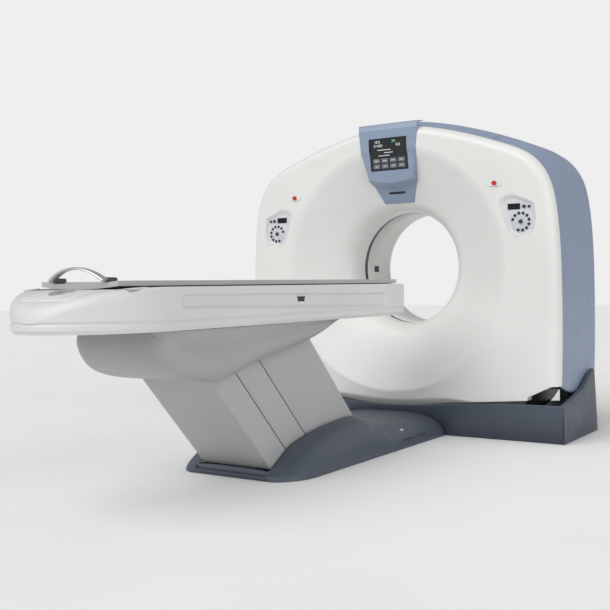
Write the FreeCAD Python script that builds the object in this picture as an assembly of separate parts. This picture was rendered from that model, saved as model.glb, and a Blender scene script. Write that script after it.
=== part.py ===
"""CT scanner: tilting gantry on a floor base, with a patient table that lifts on leaning arms.

Frame: origin on the floor below the isocentre, +Y along the bore into the gantry,
+X to the right seen from the table, +Z up. Millimetres.
"""
import FreeCAD, Part

import math
import os

V = FreeCAD.Vector

# ---------------------------------------------------------------- driving dimensions
ISO = 1000.0               # height of the bore's axis, which is also the tilt axis
BORE_R = 350.0             # throat radius
WALL = 5.0                 # moulded covers
SEAM = 0.6                 # gap between neighbouring covers
SLIP = 0.3                 # gap between faces that slide past each other
RUN = 0.05                 # radial running clearance of shafts and pins

FACE_Y = -333.0            # front face of the front cover
SPLIT_Y = -262.0           # where the front cover meets the side and top covers
REAR_Y = 430.0             # back face of the rear cover
HALF_W = 1046.0            # half width of the tilting covers
TOP_Z = 1866.0             # crown of the front cover
COVER_BOTTOM = 232.0       # flat lower edge of the front cover
BULGE_R = 845.0            # round lower lip of the front cover, about the bore
SKIRT_R = 742.0            # round lower edge of the side covers, about the tilt axis
CROWN_LIFT = 48.0          # how far the top cover rises behind the front cover

FUNNEL_TURN = 65.0         # degrees from bore axis to the front funnel's wall
REAR_TURN = 45.0
LIP_R = 150.0              # rounding radius from throat to funnel
THROAT_FRONT = -60.0
THROAT_REAR = 290.0
WINDOW_HALF = 18.0         # half length of the scan window ring

POST_FRONT_Y, POST_REAR_Y = 155.0, 236.0
BASE_HALF_W = 1080.0
CHEEK_IN = 1052.0          # inner face of the base's side cheeks
BASE_REAR_Y = 285.0
POST_X0, POST_X1 = 888.0, 943.0   # tilt posts inside the side covers
PIVOT_R = 42.0             # tilt trunnions
BUSH_WALL = 12.0
HEAD_R = 135.0

ROTOR_Y0, ROTOR_Y1 = 150.0, 172.0
ROTOR_R = 785.0
SLEEVE_R0, SLEEVE_R1 = 490.0, 505.0
SLEEVE_END = 262.0
BEARING_R1, BEARING_R2, BEARING_R3 = 545.0, 548.0, 600.0
BEARING_Y0, BEARING_Y1 = 185.0, 235.0
FRAME_Y1 = 255.0
FOCUS_R = 541.0            # focal spot above the bore's axis
FAN_R = 949.0              # focal spot to detector face
FAN_HALF = 27.5
PULLEY_R = 50.0
PULLEY_X, PULLEY_Z = -680.0, 560.0
BELT_T = 4.0

DECK_Z = 880.0             # underside of the table's deck
DECK_T = 12.0
DECK_HALF_W = 298.0
DECK_FOOT_Y = -2872.0
TABLE_HALF_W = 325.0
TABLE_HEAD_Y = -650.0
TABLE_HEAD_HALF_W = 266.0
TAPER_Y = -930.0           # where the table starts to narrow towards the gantry
NOSE_Y = -2700.0           # where the rounded foot end begins
NOSE_L = 400.0
TABLE_TOP_Z = 899.0        # rim of the table cover
TABLE_BOTTOM_Z = 728.0
CRADLE_HALF_W = 210.0
CRADLE_T = 20.0
CRADLE_SAG = 12.0
CRADLE_HEAD_Y = -636.0
CRADLE_FOOT_Y = -2850.0

ARM_L = 960.0              # between the lower and upper pivots
LEAN = 46.5                # arm angle above the floor at rest
ARM_Z = 95.0               # height of the arms' lower pivots
ARM_FRONT_Y, ARM_REAR_Y = -1300.0, -1700.0
ARM_BAR_X0, ARM_BAR_X1 = 98.0, 128.0
ARM_DEPTH = 84.0
SHAFT_R = 18.0
STUB_R = 8.0
LEG_HALF_W = 200.0
SLAT_T = 4.0
SLAT_STEP = 6.0            # each slat lies this much further in than the last
ACT_R = 300.0              # arm pivot to both ends of the lift actuator
ACT_OFFSET = 30.0          # degrees from the arm to the actuator's lug
EYE_SLOT = 3.0             # play of the rod's eye along the actuator

BUTTON_TRAVEL = 3.0


# ---------------------------------------------------------------- small tools
def box(x0, x1, y0, y1, z0, z1):
    return Part.makeBox(x1 - x0, y1 - y0, z1 - z0, V(x0, y0, z0))


def rod_x(r, x0, x1, y, z):
    return Part.makeCylinder(r, x1 - x0, V(x0, y, z), V(1, 0, 0))


def rod_y(r, y0, y1, x=0.0, z=ISO):
    return Part.makeCylinder(r, y1 - y0, V(x, y0, z), V(0, 1, 0))


def ring_y(r0, r1, y0, y1, x=0.0, z=ISO):
    return rod_y(r1, y0, y1, x, z).cut(rod_y(r0, y0 - 1, y1 + 1, x, z))


def face(points):
    """Flat face through corner points in order."""
    return Part.Face(Part.makePolygon(points + [points[0]]))


def prism_x(yz, x0, x1):
    """Side outline in Y and Z, carried along X."""
    return face([V(x0, y, z) for y, z in yz]).extrude(V(x1 - x0, 0, 0))


def prism_y(xz, y0, y1):
    """Front outline in X and Z, carried along Y."""
    return face([V(x, y0, z) for x, z in xz]).extrude(V(0, y1 - y0, 0))


def prism_z(xy, z0, z1):
    """Plan outline in X and Y, carried along Z."""
    return face([V(x, y, z0) for x, y in xy]).extrude(V(0, 0, z1 - z0))


def mirrored(shape):
    return shape.mirror(V(0, 0, 0), V(1, 0, 0))


def both(shape):
    """A shape and its mirror image in one."""
    return shape.fuse(mirrored(shape)).removeSplitter()


def fused(shapes):
    return shapes[0].fuse(shapes[1:]).removeSplitter()


def group(shapes):
    """Several separate solids in one node."""
    return Part.makeCompound([s for shape in shapes for s in shape.Solids])


def sector(r0, r1, a0, a1, y0, y1, z=ISO, steps=8):
    """Ring segment about an axis along Y, angles from +X towards +Z in degrees."""
    def arc(r):
        p = [V(r * math.cos(math.radians(a)), y0, z + r * math.sin(math.radians(a)))
             for a in (a0, (a0 + a1) / 2, a1)]
        return Part.Arc(*p).toShape(), p[0], p[2]
    inner, i0, i1 = arc(r0)
    outer, o0, o1 = arc(r1)
    sides = [Part.LineSegment(i1, o1).toShape(), Part.LineSegment(o0, i0).toShape()]
    wire = Part.Wire(Part.__sortEdges__([inner, outer] + sides))
    return Part.Face(wire).extrude(V(0, y1 - y0, 0))


def export(name, shape):
    os.makedirs("parts", exist_ok=True)
    if len(shape.Solids) == 1:
        shape = shape.Solids[0]
    shape.exportStep("parts/" + name + ".step")


# ---------------------------------------------------------------- gantry outline
CROWN = [(0, TOP_Z), (200, TOP_Z - 22), (435, TOP_Z - 77), (713, TOP_Z - 170), (890, TOP_Z - 262),
         (975, TOP_Z - 375), (1017, TOP_Z - 531), (HALF_W - 6, 1082), (HALF_W, 850),
         (HALF_W, 560), (HALF_W - 6, 300)]


def crown_points(inset, lift):
    """The outline's points moved inwards along their normals, and raised where they face up."""
    half = CROWN
    full = [(-x, z) for x, z in reversed(half[1:])] + half
    moved = []
    for i, (x, z) in enumerate(full):
        ax, az = full[max(i - 1, 0)]
        bx, bz = full[min(i + 1, len(full) - 1)]
        size = math.hypot(bx - ax, bz - az)
        nx, nz = -(bz - az) / size, (bx - ax) / size
        grow = lift * max(nz, 0.0) - inset
        moved.append((x + nx * grow, z + nz * grow))
    return moved


def crown_wire(y, inset=0.0, lift=0.0, bottom=COVER_BOTTOM):
    points = [V(x, y, z) for x, z in crown_points(inset, lift)]
    curve = Part.BSplineCurve()
    curve.interpolate(points)
    right = V(points[-1].x, y, bottom)
    left = V(points[0].x, y, bottom)
    edges = [curve.toShape(), Part.LineSegment(points[-1], right).toShape(),
             Part.LineSegment(right, left).toShape(), Part.LineSegment(left, points[0]).toShape()]
    return Part.Wire(edges)


def crown_solid(sections, bottom):
    wires = [crown_wire(y, inset, lift, bottom) for y, inset, lift in sections]
    return Part.makeLoft(wires, True, True)


def funnel_points(turn, throat, outward, extra=0.0):
    """Radius and Y of the lip's arc and the wall's start, for a wall 'extra' thick behind it."""
    r = LIP_R - extra
    a = math.radians(turn)
    centre = BORE_R + LIP_R
    mid = (centre - r * math.cos(a / 2), throat + outward * r * math.sin(a / 2))
    end = (centre - r * math.cos(a), throat + outward * r * math.sin(a))
    return (BORE_R + extra, throat), mid, end


def funnel_reach(end, turn, y):
    """Radius of the funnel's wall at a plane Y."""
    return end[0] + abs(y - end[1]) * math.tan(math.radians(turn))


def revolve_profile(edges_rz):
    """Closed profile of lines and three-point arcs in radius and Y, turned about the bore."""
    def at(p):
        return V(p[0], p[1], ISO)
    edges = []
    for piece in edges_rz:
        if len(piece) == 2:
            edges.append(Part.LineSegment(at(piece[0]), at(piece[1])).toShape())
        else:
            edges.append(Part.Arc(at(piece[0]), at(piece[1]), at(piece[2])).toShape())
    wire = Part.Wire(edges)
    return Part.Face(wire).revolve(V(0, 0, ISO), V(0, 1, 0), 360)


def funnel(turn, throat, outward, mouth_y, ring_y0):
    """Wall and air of one funnel: straight throat, round lip, straight flare."""
    s0, s1, s2 = funnel_points(turn, throat, outward)
    t0, t1, t2 = funnel_points(turn, throat, outward, WALL)
    mouth = (funnel_reach(s2, turn, mouth_y), mouth_y)
    back = (funnel_reach(t2, turn, mouth_y), mouth_y)
    start, back_start = (BORE_R, ring_y0), (BORE_R + WALL, ring_y0)
    wall = revolve_profile([(start, s0), (s0, s1, s2), (s2, mouth), (mouth, back),
                            (back, t2), (t2, t1, t0), (t0, back_start), (back_start, start)])
    past = (mouth[0], mouth_y + outward * 40)
    air = revolve_profile([((0, ring_y0), start), (start, s0), (s0, s1, s2), (s2, mouth),
                           (mouth, past), (past, (0, past[1])), ((0, past[1]), (0, ring_y0))])
    return wall, air


FRONT_RADII = funnel_points(FUNNEL_TURN, THROAT_FRONT, -1)
FRONT_MOUTH_R = funnel_reach(FRONT_RADII[2], FUNNEL_TURN, FACE_Y)


# ---------------------------------------------------------------- gantry covers
PANEL = [(706, 1378), (790, 1398), (915, 1342), (925, 1255), (908, 1180), (808, 1150), (758, 1200)]
PANEL_T = 16.0
PANEL_DEEP = 9.0
KEY_X, KEY_Z = 835.0, 1237.0
KEY_RING_R = 49.0
KEY_R = 9.0
ESTOP_X, ESTOP_Z = 684.0, 1462.0
ESTOP_HALF_W, ESTOP_HALF_H = 42.0, 18.0


def rounded_prism_y(xz, y0, y1, r):
    solid = prism_y(xz, y0, y1)
    upright = [e for e in solid.Edges if abs(e.Vertexes[0].Y - e.Vertexes[-1].Y) > 0.5 * abs(y1 - y0)]
    return solid.makeFillet(r, upright)


def panel_block(y0, y1):
    return rounded_prism_y(PANEL, y0, y1, 16.0)


def estop_block(y0, y1, grow=0.0):
    half_w, half_h = ESTOP_HALF_W + grow, ESTOP_HALF_H + grow
    straight = half_w - half_h
    block = box(ESTOP_X - straight, ESTOP_X + straight, y0, y1, ESTOP_Z - half_h, ESTOP_Z + half_h)
    ends = [rod_y(half_h, y0, y1, ESTOP_X + s * straight, ESTOP_Z) for s in (-1, 1)]
    return fused([block] + ends)


FRONT_SECTIONS = [(FACE_Y, 62, 0), (FACE_Y + 14, 32, 0), (FACE_Y + 32, 12, 0), (SPLIT_Y, 0, 0)]


def front_shell_solid(inset, shift, bulge_r, bottom):
    """Everything inside the front cover's outer or inner surface, the funnel aside."""
    sections = [(y + shift, grow + inset, lift) for y, grow, lift in FRONT_SECTIONS]
    body = crown_solid(sections, bottom)
    lip = Part.makeCone(bulge_r - 40, bulge_r, 32, V(0, FACE_Y + shift, ISO), V(0, 1, 0))
    lip = lip.fuse(rod_y(bulge_r, FACE_Y + shift + 32, SPLIT_Y + shift))
    return body.fuse(lip.common(box(-600, 600, -400, 0, 0, 500)))


NOTCH = [(865, 120), (865, 250), (1000, 315), (1100, 315), (1100, 120)]
PAST = 60.0


def front_cover():
    outer = front_shell_solid(0.0, 0.0, BULGE_R, COVER_BOTTOM)
    inner = front_shell_solid(WALL, WALL, BULGE_R - WALL, COVER_BOTTOM + WALL)
    wall, air = funnel(FUNNEL_TURN, THROAT_FRONT, -1, FACE_Y, -WINDOW_HALF)
    holes = both(prism_y(NOTCH, FACE_Y - PAST, SPLIT_Y + PAST))
    holes = holes.fuse([both(panel_block(FACE_Y - PAST, FACE_Y + PAST)),
                        both(estop_block(FACE_Y - PAST, FACE_Y + PAST))])
    behind_screen = tilted_screen(SCREEN_HALF_W + SLIP, SCREEN_Z0 - SLIP, SCREEN_Z1 + SLIP, 4, SCREEN_T + SLIP)
    return outer.cut(inner).fuse(wall).cut(air).cut(holes).cut(behind_screen)


SHELL_SECTIONS = [(SPLIT_Y + SEAM, 0, 0), (-90, 0, 0.85 * CROWN_LIFT), (90, 0, CROWN_LIFT),
                  (290, 2, 0.9 * CROWN_LIFT), (375, 18, 0.8 * CROWN_LIFT), (REAR_Y - 12, 45, 0.7 * CROWN_LIFT),
                  (REAR_Y, 74, 0.6 * CROWN_LIFT)]
COVER_SPLIT_X = 640.0      # side covers end and the top cover begins


def gantry_wrap():
    """Side and top covers as one shell: outer loft less inner loft, round below."""
    outer = crown_solid(SHELL_SECTIONS, COVER_BOTTOM)
    first, last = SHELL_SECTIONS[0], SHELL_SECTIONS[-1]
    inside = [(first[0] - 1, first[1] + WALL, first[2])]
    inside += [(y, inset + WALL, lift) for y, inset, lift in SHELL_SECTIONS[1:-1]]
    inside += [(last[0] + 1, last[1] + WALL, last[2])]
    shell = outer.cut(crown_solid(inside, COVER_BOTTOM - PAST))
    below = box(-1200, 1200, -500, 700, 0, ISO - 250)
    round_skirt = rod_x(SKIRT_R, -1200, 1200, 0, ISO)
    shell = shell.cut(below.cut(round_skirt))
    return shell


def wrap_covers():
    shell = gantry_wrap()
    right = shell.common(box(COVER_SPLIT_X + SEAM / 2, 1300, -500, 700, 0, 2200))
    top = shell.common(box(-COVER_SPLIT_X + SEAM / 2, COVER_SPLIT_X - SEAM / 2, -500, 700, ISO, 2200))
    return right, mirrored(right), top


REAR_NOTCH = [(868, 0), (868, 600), (1200, 600), (1200, 0)]


def rear_cover():
    last = SHELL_SECTIONS[-1]
    inset = last[1] + WALL + SEAM
    plate = crown_solid([(REAR_Y - WALL, inset, last[2]), (REAR_Y, inset, last[2])], COVER_BOTTOM)
    lip = crown_solid([(REAR_Y - 40, inset, last[2]), (REAR_Y - WALL, inset, last[2])], COVER_BOTTOM)
    lip_in = crown_solid([(REAR_Y - 41, inset + WALL, last[2]), (REAR_Y - WALL, inset + WALL, last[2])],
                         COVER_BOTTOM - PAST)
    wall, air = funnel(REAR_TURN, THROAT_REAR, 1, REAR_Y, WINDOW_HALF)
    cover = plate.fuse([lip.cut(lip_in), wall]).cut(air).cut(both(light_window()))
    cover = cover.cut(both(prism_y(REAR_NOTCH, REAR_Y - 2 * PAST, REAR_Y + PAST)))
    below = box(-1200, 1200, 300, 700, 0, ISO - 250)
    return cover.cut(below.cut(rod_x(SKIRT_R, -1200, 1200, 0, ISO)))


def scan_window_ring():
    """Thin clear band across the gap between the two throats, with a locating rim behind it."""
    band = ring_y(BORE_R + 1, BORE_R + 4, -WINDOW_HALF, WINDOW_HALF)
    rim = ring_y(BORE_R + WALL + SLIP, BORE_R + WALL + 5, -WINDOW_HALF - 8, WINDOW_HALF + 8)
    bridge = ring_y(BORE_R + 2, BORE_R + WALL + 3, -WINDOW_HALF + SLIP, WINDOW_HALF - SLIP)
    return fused([band, bridge, rim])


def light_window():
    """Small dark laser window let into the rear throat, right-hand side."""
    return box(BORE_R - 2, BORE_R + 2 * WALL, 122, 150, ISO - 11, ISO + 11)


HOUSING_FRONT = [(-204, 1872), (204, 1872), (192, 1700), (170, 1605), (153, 1512), (104, 1398),
                 (-104, 1398), (-153, 1512), (-170, 1605), (-192, 1700)]
HOUSING_SIDE = [(-262, 1880), (-326, 1872), (-345, 1840), (-340, 1785), (-316, 1590), (-300, 1515),
                (-236, 1484), (-204, 1462), (-176, 1398), (-120, 1398), (-120, 1880)]
SCREEN_HALF_W = 128.0
SCREEN_Z0, SCREEN_Z1 = 1592.0, 1784.0
SCREEN_T = 8.0


def tilted_screen(half_w, z0, z1, front, thick):
    """Flat slab that leans with the housing's front face."""
    (y1, h1), (y0, h0) = HOUSING_SIDE[3], HOUSING_SIDE[4]
    slope = (y1 - y0) / (h1 - h0)

    def at(z):
        return y0 + slope * (z - h0) + front
    return prism_x([(at(z0), z0), (at(z1), z1), (at(z1) + thick, z1), (at(z0) + thick, z0)],
                   -half_w, half_w)


def display_housing():
    block = prism_y(HOUSING_FRONT, -400, -100).common(prism_x(HOUSING_SIDE, -260, 260))
    outer = front_shell_solid(0.0, 0.0, BULGE_R, COVER_BOTTOM)
    air = funnel(FUNNEL_TURN, THROAT_FRONT, -1, FACE_Y, -WINDOW_HALF)[1]
    block = block.cut(outer.cut(air)).cut(box(-300, 300, SPLIT_Y, 500, 0, 2200))
    block = block.cut(tilted_screen(SCREEN_HALF_W, SCREEN_Z0, SCREEN_Z1, 4, 100)
                      .common(box(-300, 300, -400, -296, 0, 2200)))
    slot = box(-56, 56, -230, -196, 1456, 1468)
    block = block.cut(slot)
    housing = max(block.Solids, key=lambda s: s.Volume)
    housing.translate(V(0, -SLIP, 0))
    return housing


def control_panel():
    """Dished tray with a sloping upper lip, its readout and its keys standing on its floor."""
    tray = panel_block(FACE_Y, FACE_Y + PANEL_T)
    floor = [(738, 1353), (795, 1366), (897, 1330), (908, 1254), (893, 1190), (811, 1166), (776, 1204)]
    hollow = rounded_prism_y(floor, FACE_Y - 1, FACE_Y + PANEL_DEEP, 12.0)
    return tray.cut(hollow)


def at_panel(dx, dz, r, depth0, depth1):
    return rod_y(r, FACE_Y + depth0, FACE_Y + depth1, KEY_X + dx, KEY_Z + dz)


KEY_ANGLES = [164.0 - 30.3 * i for i in range(10)]
KNOBS = {"start_button": (20.0, 84.0, 10.0), "stop_button": (49.0, 83.0, 8.0),
         "center_button": (0.0, 0.0, 11.0)}


def keypad():
    """One moulded mat: a thin disc with ten domed keys, and a hole for the centre button."""
    mat = at_panel(0, 0, KEY_RING_R + 11.5, PANEL_DEEP - 2, PANEL_DEEP)
    keys = []
    for angle in KEY_ANGLES:
        a = math.radians(angle)
        dx, dz = KEY_RING_R * math.cos(a), KEY_RING_R * math.sin(a)
        keys.append(at_panel(dx, dz, KEY_R, PANEL_DEEP - 5, PANEL_DEEP - 2))
    mat = fused([mat] + keys)
    return mat.cut(at_panel(0, 0, KNOBS["center_button"][2] + 0.5, -5, PANEL_DEEP + 5))


def panel_readout():
    return box(KEY_X - 76, KEY_X - 4, FACE_Y + PANEL_DEEP - 3, FACE_Y + PANEL_DEEP, KEY_Z + 70, KEY_Z + 103)


def knob(name):
    dx, dz, r = KNOBS[name]
    base = PANEL_DEEP - (2 if name == "center_button" else 0)
    cap = at_panel(dx, dz, r, base - BUTTON_TRAVEL - 4, base - BUTTON_TRAVEL)
    stem = at_panel(dx, dz, 0.45 * r, base - BUTTON_TRAVEL, PANEL_T + 6)
    return fused([cap, stem])


def knob_holes(shape):
    for name, (dx, dz, r) in KNOBS.items():
        shape = shape.cut(at_panel(dx, dz, 0.45 * r + RUN, -20, PANEL_T + 20))
        shape = shape.cut(at_panel(dx, dz, r + 0.5, -20, PANEL_DEEP - 0.0))
    return shape


ESTOP_T = 14.0
ESTOP_R = 13.0


def estop_plate():
    plate = estop_block(FACE_Y - 3, FACE_Y + ESTOP_T)
    return plate.cut(rod_y(6 + RUN, FACE_Y - 20, FACE_Y + 40, ESTOP_X, ESTOP_Z))


def estop_button():
    cap = rod_y(ESTOP_R, FACE_Y - 3 - BUTTON_TRAVEL - 7, FACE_Y - 3 - BUTTON_TRAVEL, ESTOP_X, ESTOP_Z)
    stem = rod_y(6, FACE_Y - 3 - BUTTON_TRAVEL, FACE_Y + ESTOP_T + 6, ESTOP_X, ESTOP_Z)
    return fused([cap, stem])


# ---------------------------------------------------------------- gantry structure
TRUNNION_X0 = 862.0
PLATE_HALF_W, PLATE_HALF_H = 800.0, 690.0
STRUT_X, STRUT_Z, STRUT_R = 778.0, 425.0, 16.0


def tilt_frame():
    """Cast plate behind the rotor, with side beams that carry the trunnions."""
    corner = 250.0
    w, h = PLATE_HALF_W, PLATE_HALF_H
    outline = [(-w, ISO - h + corner), (-w + corner, ISO - h), (w - corner, ISO - h), (w, ISO - h + corner),
               (w, ISO + h - corner), (w - corner, ISO + h), (-w + corner, ISO + h), (-w, ISO + h - corner)]
    plate = prism_y(outline, BEARING_Y1, FRAME_Y1).cut(rod_y(560, 0, 500))
    ear = box(PULLEY_X - 60, PULLEY_X + 100, BEARING_Y1, FRAME_Y1, ISO + PULLEY_Z - 100, ISO + PULLEY_Z + 60)
    inner = max(w, ROTOR_R + BELT_T) + 12
    outer = POST_X0 - 4
    beam = [(w - 40, BEARING_Y1), (inner, BEARING_Y1), (inner, -70), (outer, -70), (outer, FRAME_Y1),
            (w - 40, FRAME_Y1)]
    side = prism_z(beam, ISO - 110, ISO + 110)
    pin = rod_x(PIVOT_R, TRUNNION_X0, POST_X1 + 50, 0, ISO)
    frame = fused([plate, ear, both(side), pin, mirrored(pin)])
    pads = [rod_y(22, REAR_Y - 60, REAR_Y - WALL, s * 650, ISO + t * 420) for s in (-1, 1) for t in (-1, 1)]
    legs = [rod_y(12, FRAME_Y1 - 5, REAR_Y - 60, s * 650, ISO + t * 420) for s in (-1, 1) for t in (-1, 1)]
    frame = fused([frame] + pads + legs)
    return frame.cut(rod_y(20, 0, 500, PULLEY_X, ISO + PULLEY_Z))


def gantry_struts():
    """Spacers from the rear plate's corners, past the rotor's rim, to the front cover."""
    rods = []
    for s in (-1, 1):
        for t in (-1, 1):
            rods.append(rod_y(STRUT_R, FACE_Y + WALL, FRAME_Y1 - 20, s * STRUT_X, ISO + t * STRUT_Z))
    return rods


def rotor_drum():
    """Turned disc with a sleeve behind it and six round openings."""
    disc = ring_y(395, ROTOR_R, ROTOR_Y0, ROTOR_Y1)
    sleeve = ring_y(SLEEVE_R0, SLEEVE_R1, ROTOR_Y1 - 1, SLEEVE_END)
    shoulder = ring_y(SLEEVE_R0, BEARING_R1 - 10, ROTOR_Y1 - 1, BEARING_Y0)
    return fused([disc, sleeve, shoulder])


def xray_tube():
    body = rod_y(108, -185, ROTOR_Y0, 0, ISO + 600)
    horn = rod_y(60, -205, -185, 0, ISO + 600)
    fins = [rod_y(114, y, y + 10, 0, ISO + 600) for y in (-150, -110, 70, 110)]
    return fused([body, horn] + fins)


def collimator():
    block = box(-95, 95, -70, ROTOR_Y0, ISO + 396, ISO + 500)
    return block.cut(rod_y(114, -300, 300, 0, ISO + 600)).cut(box(-30, 30, -20, 20, 0, ISO + 600))


def detector():
    focus = ISO + FOCUS_R
    arc = sector(FAN_R - 10, FAN_R + 95, 270 - FAN_HALF, 270 + FAN_HALF, -60, ROTOR_Y0, focus)
    return arc


def hv_generator():
    return sector(470, 772, 155, 205, -140, ROTOR_Y0)


def power_unit():
    return sector(470, 772, -25, 25, -140, ROTOR_Y0)


def heat_exchanger():
    return sector(560, 772, 30, 62, -120, ROTOR_Y0)


def slip_ring():
    return ring_y(SLEEVE_R0, 620, SLEEVE_END, SLEEVE_END + 18)


def brush_block():
    """Brush holder on the rear plate, its brushes a hair from the slip ring's face."""
    y1 = SLEEVE_END + 18 + SLIP
    holder = box(-60, 60, y1 + 22, y1 + 62, ISO - 680, ISO - 510)
    brushes = [box(x - 6, x + 6, y1, y1 + 22, ISO - 610, ISO - 515) for x in (-36, -12, 12, 36)]
    arm = box(-60, 60, FRAME_Y1, y1 + 62, ISO - 680, ISO - 635)
    return fused([holder, arm] + brushes)


def drive_motor():
    body = rod_y(74, FRAME_Y1, FRAME_Y1 + 125, PULLEY_X, ISO + PULLEY_Z)
    nose = rod_y(20, ROTOR_Y1 + 28, FRAME_Y1, PULLEY_X, ISO + PULLEY_Z)
    bore = rod_y(9 + RUN, 0, FRAME_Y1 + 90, PULLEY_X, ISO + PULLEY_Z)
    return fused([body, nose]).cut(bore)


def motor_pulley():
    wheel = rod_y(PULLEY_R, ROTOR_Y0, ROTOR_Y1 + 26, PULLEY_X, ISO + PULLEY_Z)
    shaft = rod_y(9, ROTOR_Y1, FRAME_Y1 + 88, PULLEY_X, ISO + PULLEY_Z)
    return fused([wheel, shaft])


def belt_hull(grow, y0, y1):
    """Two circles and their outer tangents, as one face carried along Y."""
    r1, r2 = ROTOR_R + SLIP + grow, PULLEY_R + SLIP + grow
    d = math.hypot(PULLEY_X, PULLEY_Z)
    base = math.atan2(PULLEY_Z, PULLEY_X)
    swing = math.acos((r1 - r2) / d)

    def on(cx, cz, r, a):
        return V(cx + r * math.cos(a), y0, ISO + cz + r * math.sin(a))
    a0, a1 = base - swing, base + swing
    big = Part.Arc(on(0, 0, r1, a1), on(0, 0, r1, base + math.pi), on(0, 0, r1, a0)).toShape()
    small = Part.Arc(on(PULLEY_X, PULLEY_Z, r2, a0), on(PULLEY_X, PULLEY_Z, r2, base),
                     on(PULLEY_X, PULLEY_Z, r2, a1)).toShape()
    low = Part.LineSegment(on(0, 0, r1, a0), on(PULLEY_X, PULLEY_Z, r2, a0)).toShape()
    high = Part.LineSegment(on(PULLEY_X, PULLEY_Z, r2, a1), on(0, 0, r1, a1)).toShape()
    return Part.Face(Part.Wire([big, low, small, high])).extrude(V(0, y1 - y0, 0))


def drive_belt():
    return belt_hull(BELT_T, ROTOR_Y0 + 3, ROTOR_Y1 - 3).cut(belt_hull(0, ROTOR_Y0, ROTOR_Y1))


# ---------------------------------------------------------------- gantry base
def base_frame():
    """Welded floor frame: two posts with bearing heads, joined by cross members."""
    post = [(POST_FRONT_Y, 40), (POST_FRONT_Y, 240), (25, 462), (-95, 672), (-118, 730), (-118, ISO),
            (118, ISO), (118, 432), (POST_REAR_Y, 325), (POST_REAR_Y, 40)]
    plate = prism_x(post, POST_X0, POST_X1)
    head = rod_x(HEAD_R, POST_X0, POST_X1, 0, ISO)
    foot = box(POST_X0 - 60, 1040, -300, 262, 0, 14)
    gusset = box(POST_X0, POST_X1, -260, 240, 14, 70)
    post = fused([plate, head, foot, gusset])
    cross = [box(-POST_X0 - 10, POST_X0 + 10, y - CROSS_HALF, y + CROSS_HALF, 0, 50)
             for y in (-CROSS_Y, CROSS_Y - 15)]
    frame = fused([post, mirrored(post)] + cross)
    frame = frame.cut(rod_x(PIVOT_R + RUN + BUSH_WALL, -1200, 1200, 0, ISO))
    for x in (-ANCHOR_X, ANCHOR_X):
        for y in (-ANCHOR_Y, ANCHOR_Y):
            frame = frame.cut(Part.makeCylinder(ANCHOR_R, 100, V(x, y, -10)))
    return frame


CROSS_Y, CROSS_HALF = 240.0, 40.0
ANCHOR_X, ANCHOR_Y, ANCHOR_R = 1005.0, 225.0, 9.0


def tilt_bushes():
    bush = rod_x(PIVOT_R + RUN + BUSH_WALL, POST_X0, POST_X1, 0, ISO)
    bush = bush.cut(rod_x(PIVOT_R + RUN, POST_X0 - 1, POST_X1 + 1, 0, ISO))
    return [bush, mirrored(bush)]


def tilt_gearmotor():
    """Flat gearmotor on the outside of the right post: the trunnion's end turns in its bore."""
    case = rod_x(95, POST_X1, POST_X1 + 60, 0, ISO)
    arm = box(POST_X1, POST_X1 + 60, -60, 60, ISO - 300, ISO - 60)
    bore = rod_x(PIVOT_R + RUN, POST_X1 - 1, POST_X1 + 52, 0, ISO)
    return fused([case, arm]).cut(bore)


BASE_SIDE = [(FACE_Y, 0), (-347, 214), (-187, 241), (4, 280), (138, 348), (212, 381), (224, 374),
             (BASE_REAR_Y, 0)]
SWEEP = [(0, 925), (336, 925), (625, 908), (865, 880), (964, 868), (CHEEK_IN, 852)]


def sweep_solid(grow):
    """Space that the tilting covers pass through, turned about the tilt axis."""
    points = [V(x, 0, ISO - r - grow) for x, r in SWEEP]
    points[-1].x -= grow
    points = [V(-p.x, 0, p.z) for p in reversed(points[1:])] + points
    curve = Part.BSplineCurve()
    curve.interpolate(points)
    a, b = points[0], points[-1]
    edges = [curve.toShape(), Part.LineSegment(b, V(b.x, 0, ISO)).toShape(),
             Part.LineSegment(V(b.x, 0, ISO), V(a.x, 0, ISO)).toShape(),
             Part.LineSegment(V(a.x, 0, ISO), a).toShape()]
    return Part.Face(Part.Wire(edges)).revolve(V(0, 0, ISO), V(1, 0, 0), 360)


def base_cover():
    """Dark floor cover: a trough under the tilting covers between two raised cheeks."""
    outer = prism_x(BASE_SIDE, -BASE_HALF_W, BASE_HALF_W).cut(sweep_solid(0))
    lower = [(y + (WALL if y < 0 else -WALL), z - WALL) for y, z in BASE_SIDE]
    cavity = prism_x(lower, -BASE_HALF_W + WALL, BASE_HALF_W - WALL).cut(sweep_solid(WALL))
    cover = outer.cut(cavity)
    clear = 4.0
    post_hole = box(POST_X0 - clear, POST_X1 + clear, POST_FRONT_Y - clear, POST_REAR_Y + clear, 60, 400)
    neck = box(-LINK_HALF_W + 12, LINK_HALF_W - 12, FACE_Y - 5, FACE_Y + 8, 0, LINK_TOP - 12)
    feet = both(box(POST_X0 - 70, 1046, -310, 270, -5, 75)).cut(box(-1200, 1200, -400, 400, 75, 80))
    cover = cover.cut(both(post_hole)).cut(neck)
    return max(cover.cut(feet).Solids, key=lambda s: s.Volume)


# ---------------------------------------------------------------- table base
LINK_HALF_W = 345.0
LINK_TOP = 132.0
TABLE_BASE_HALF_W = 362.0
TABLE_BASE_REAR = -1932.0
LINK_Y = -985.0            # joint between link cover and table base cover
DOME = [(TABLE_BASE_REAR, 0), (TABLE_BASE_REAR, 40), (-1905, 50), (-1868, 66), (-1767, 124), (-1594, 178),
        (-1400, 207), (-1230, 219), (-1130, 216), (-1050, 185), (LINK_Y, LINK_TOP), (LINK_Y, 0)]
LEG_SLOT_X = LEG_HALF_W + 6.0
LEG_SLOT_Y0, LEG_SLOT_Y1 = -1908.0, -1084.0
LEG_SILL_Z = 22.0          # rim left behind the leg, under its lowest sweep


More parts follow.
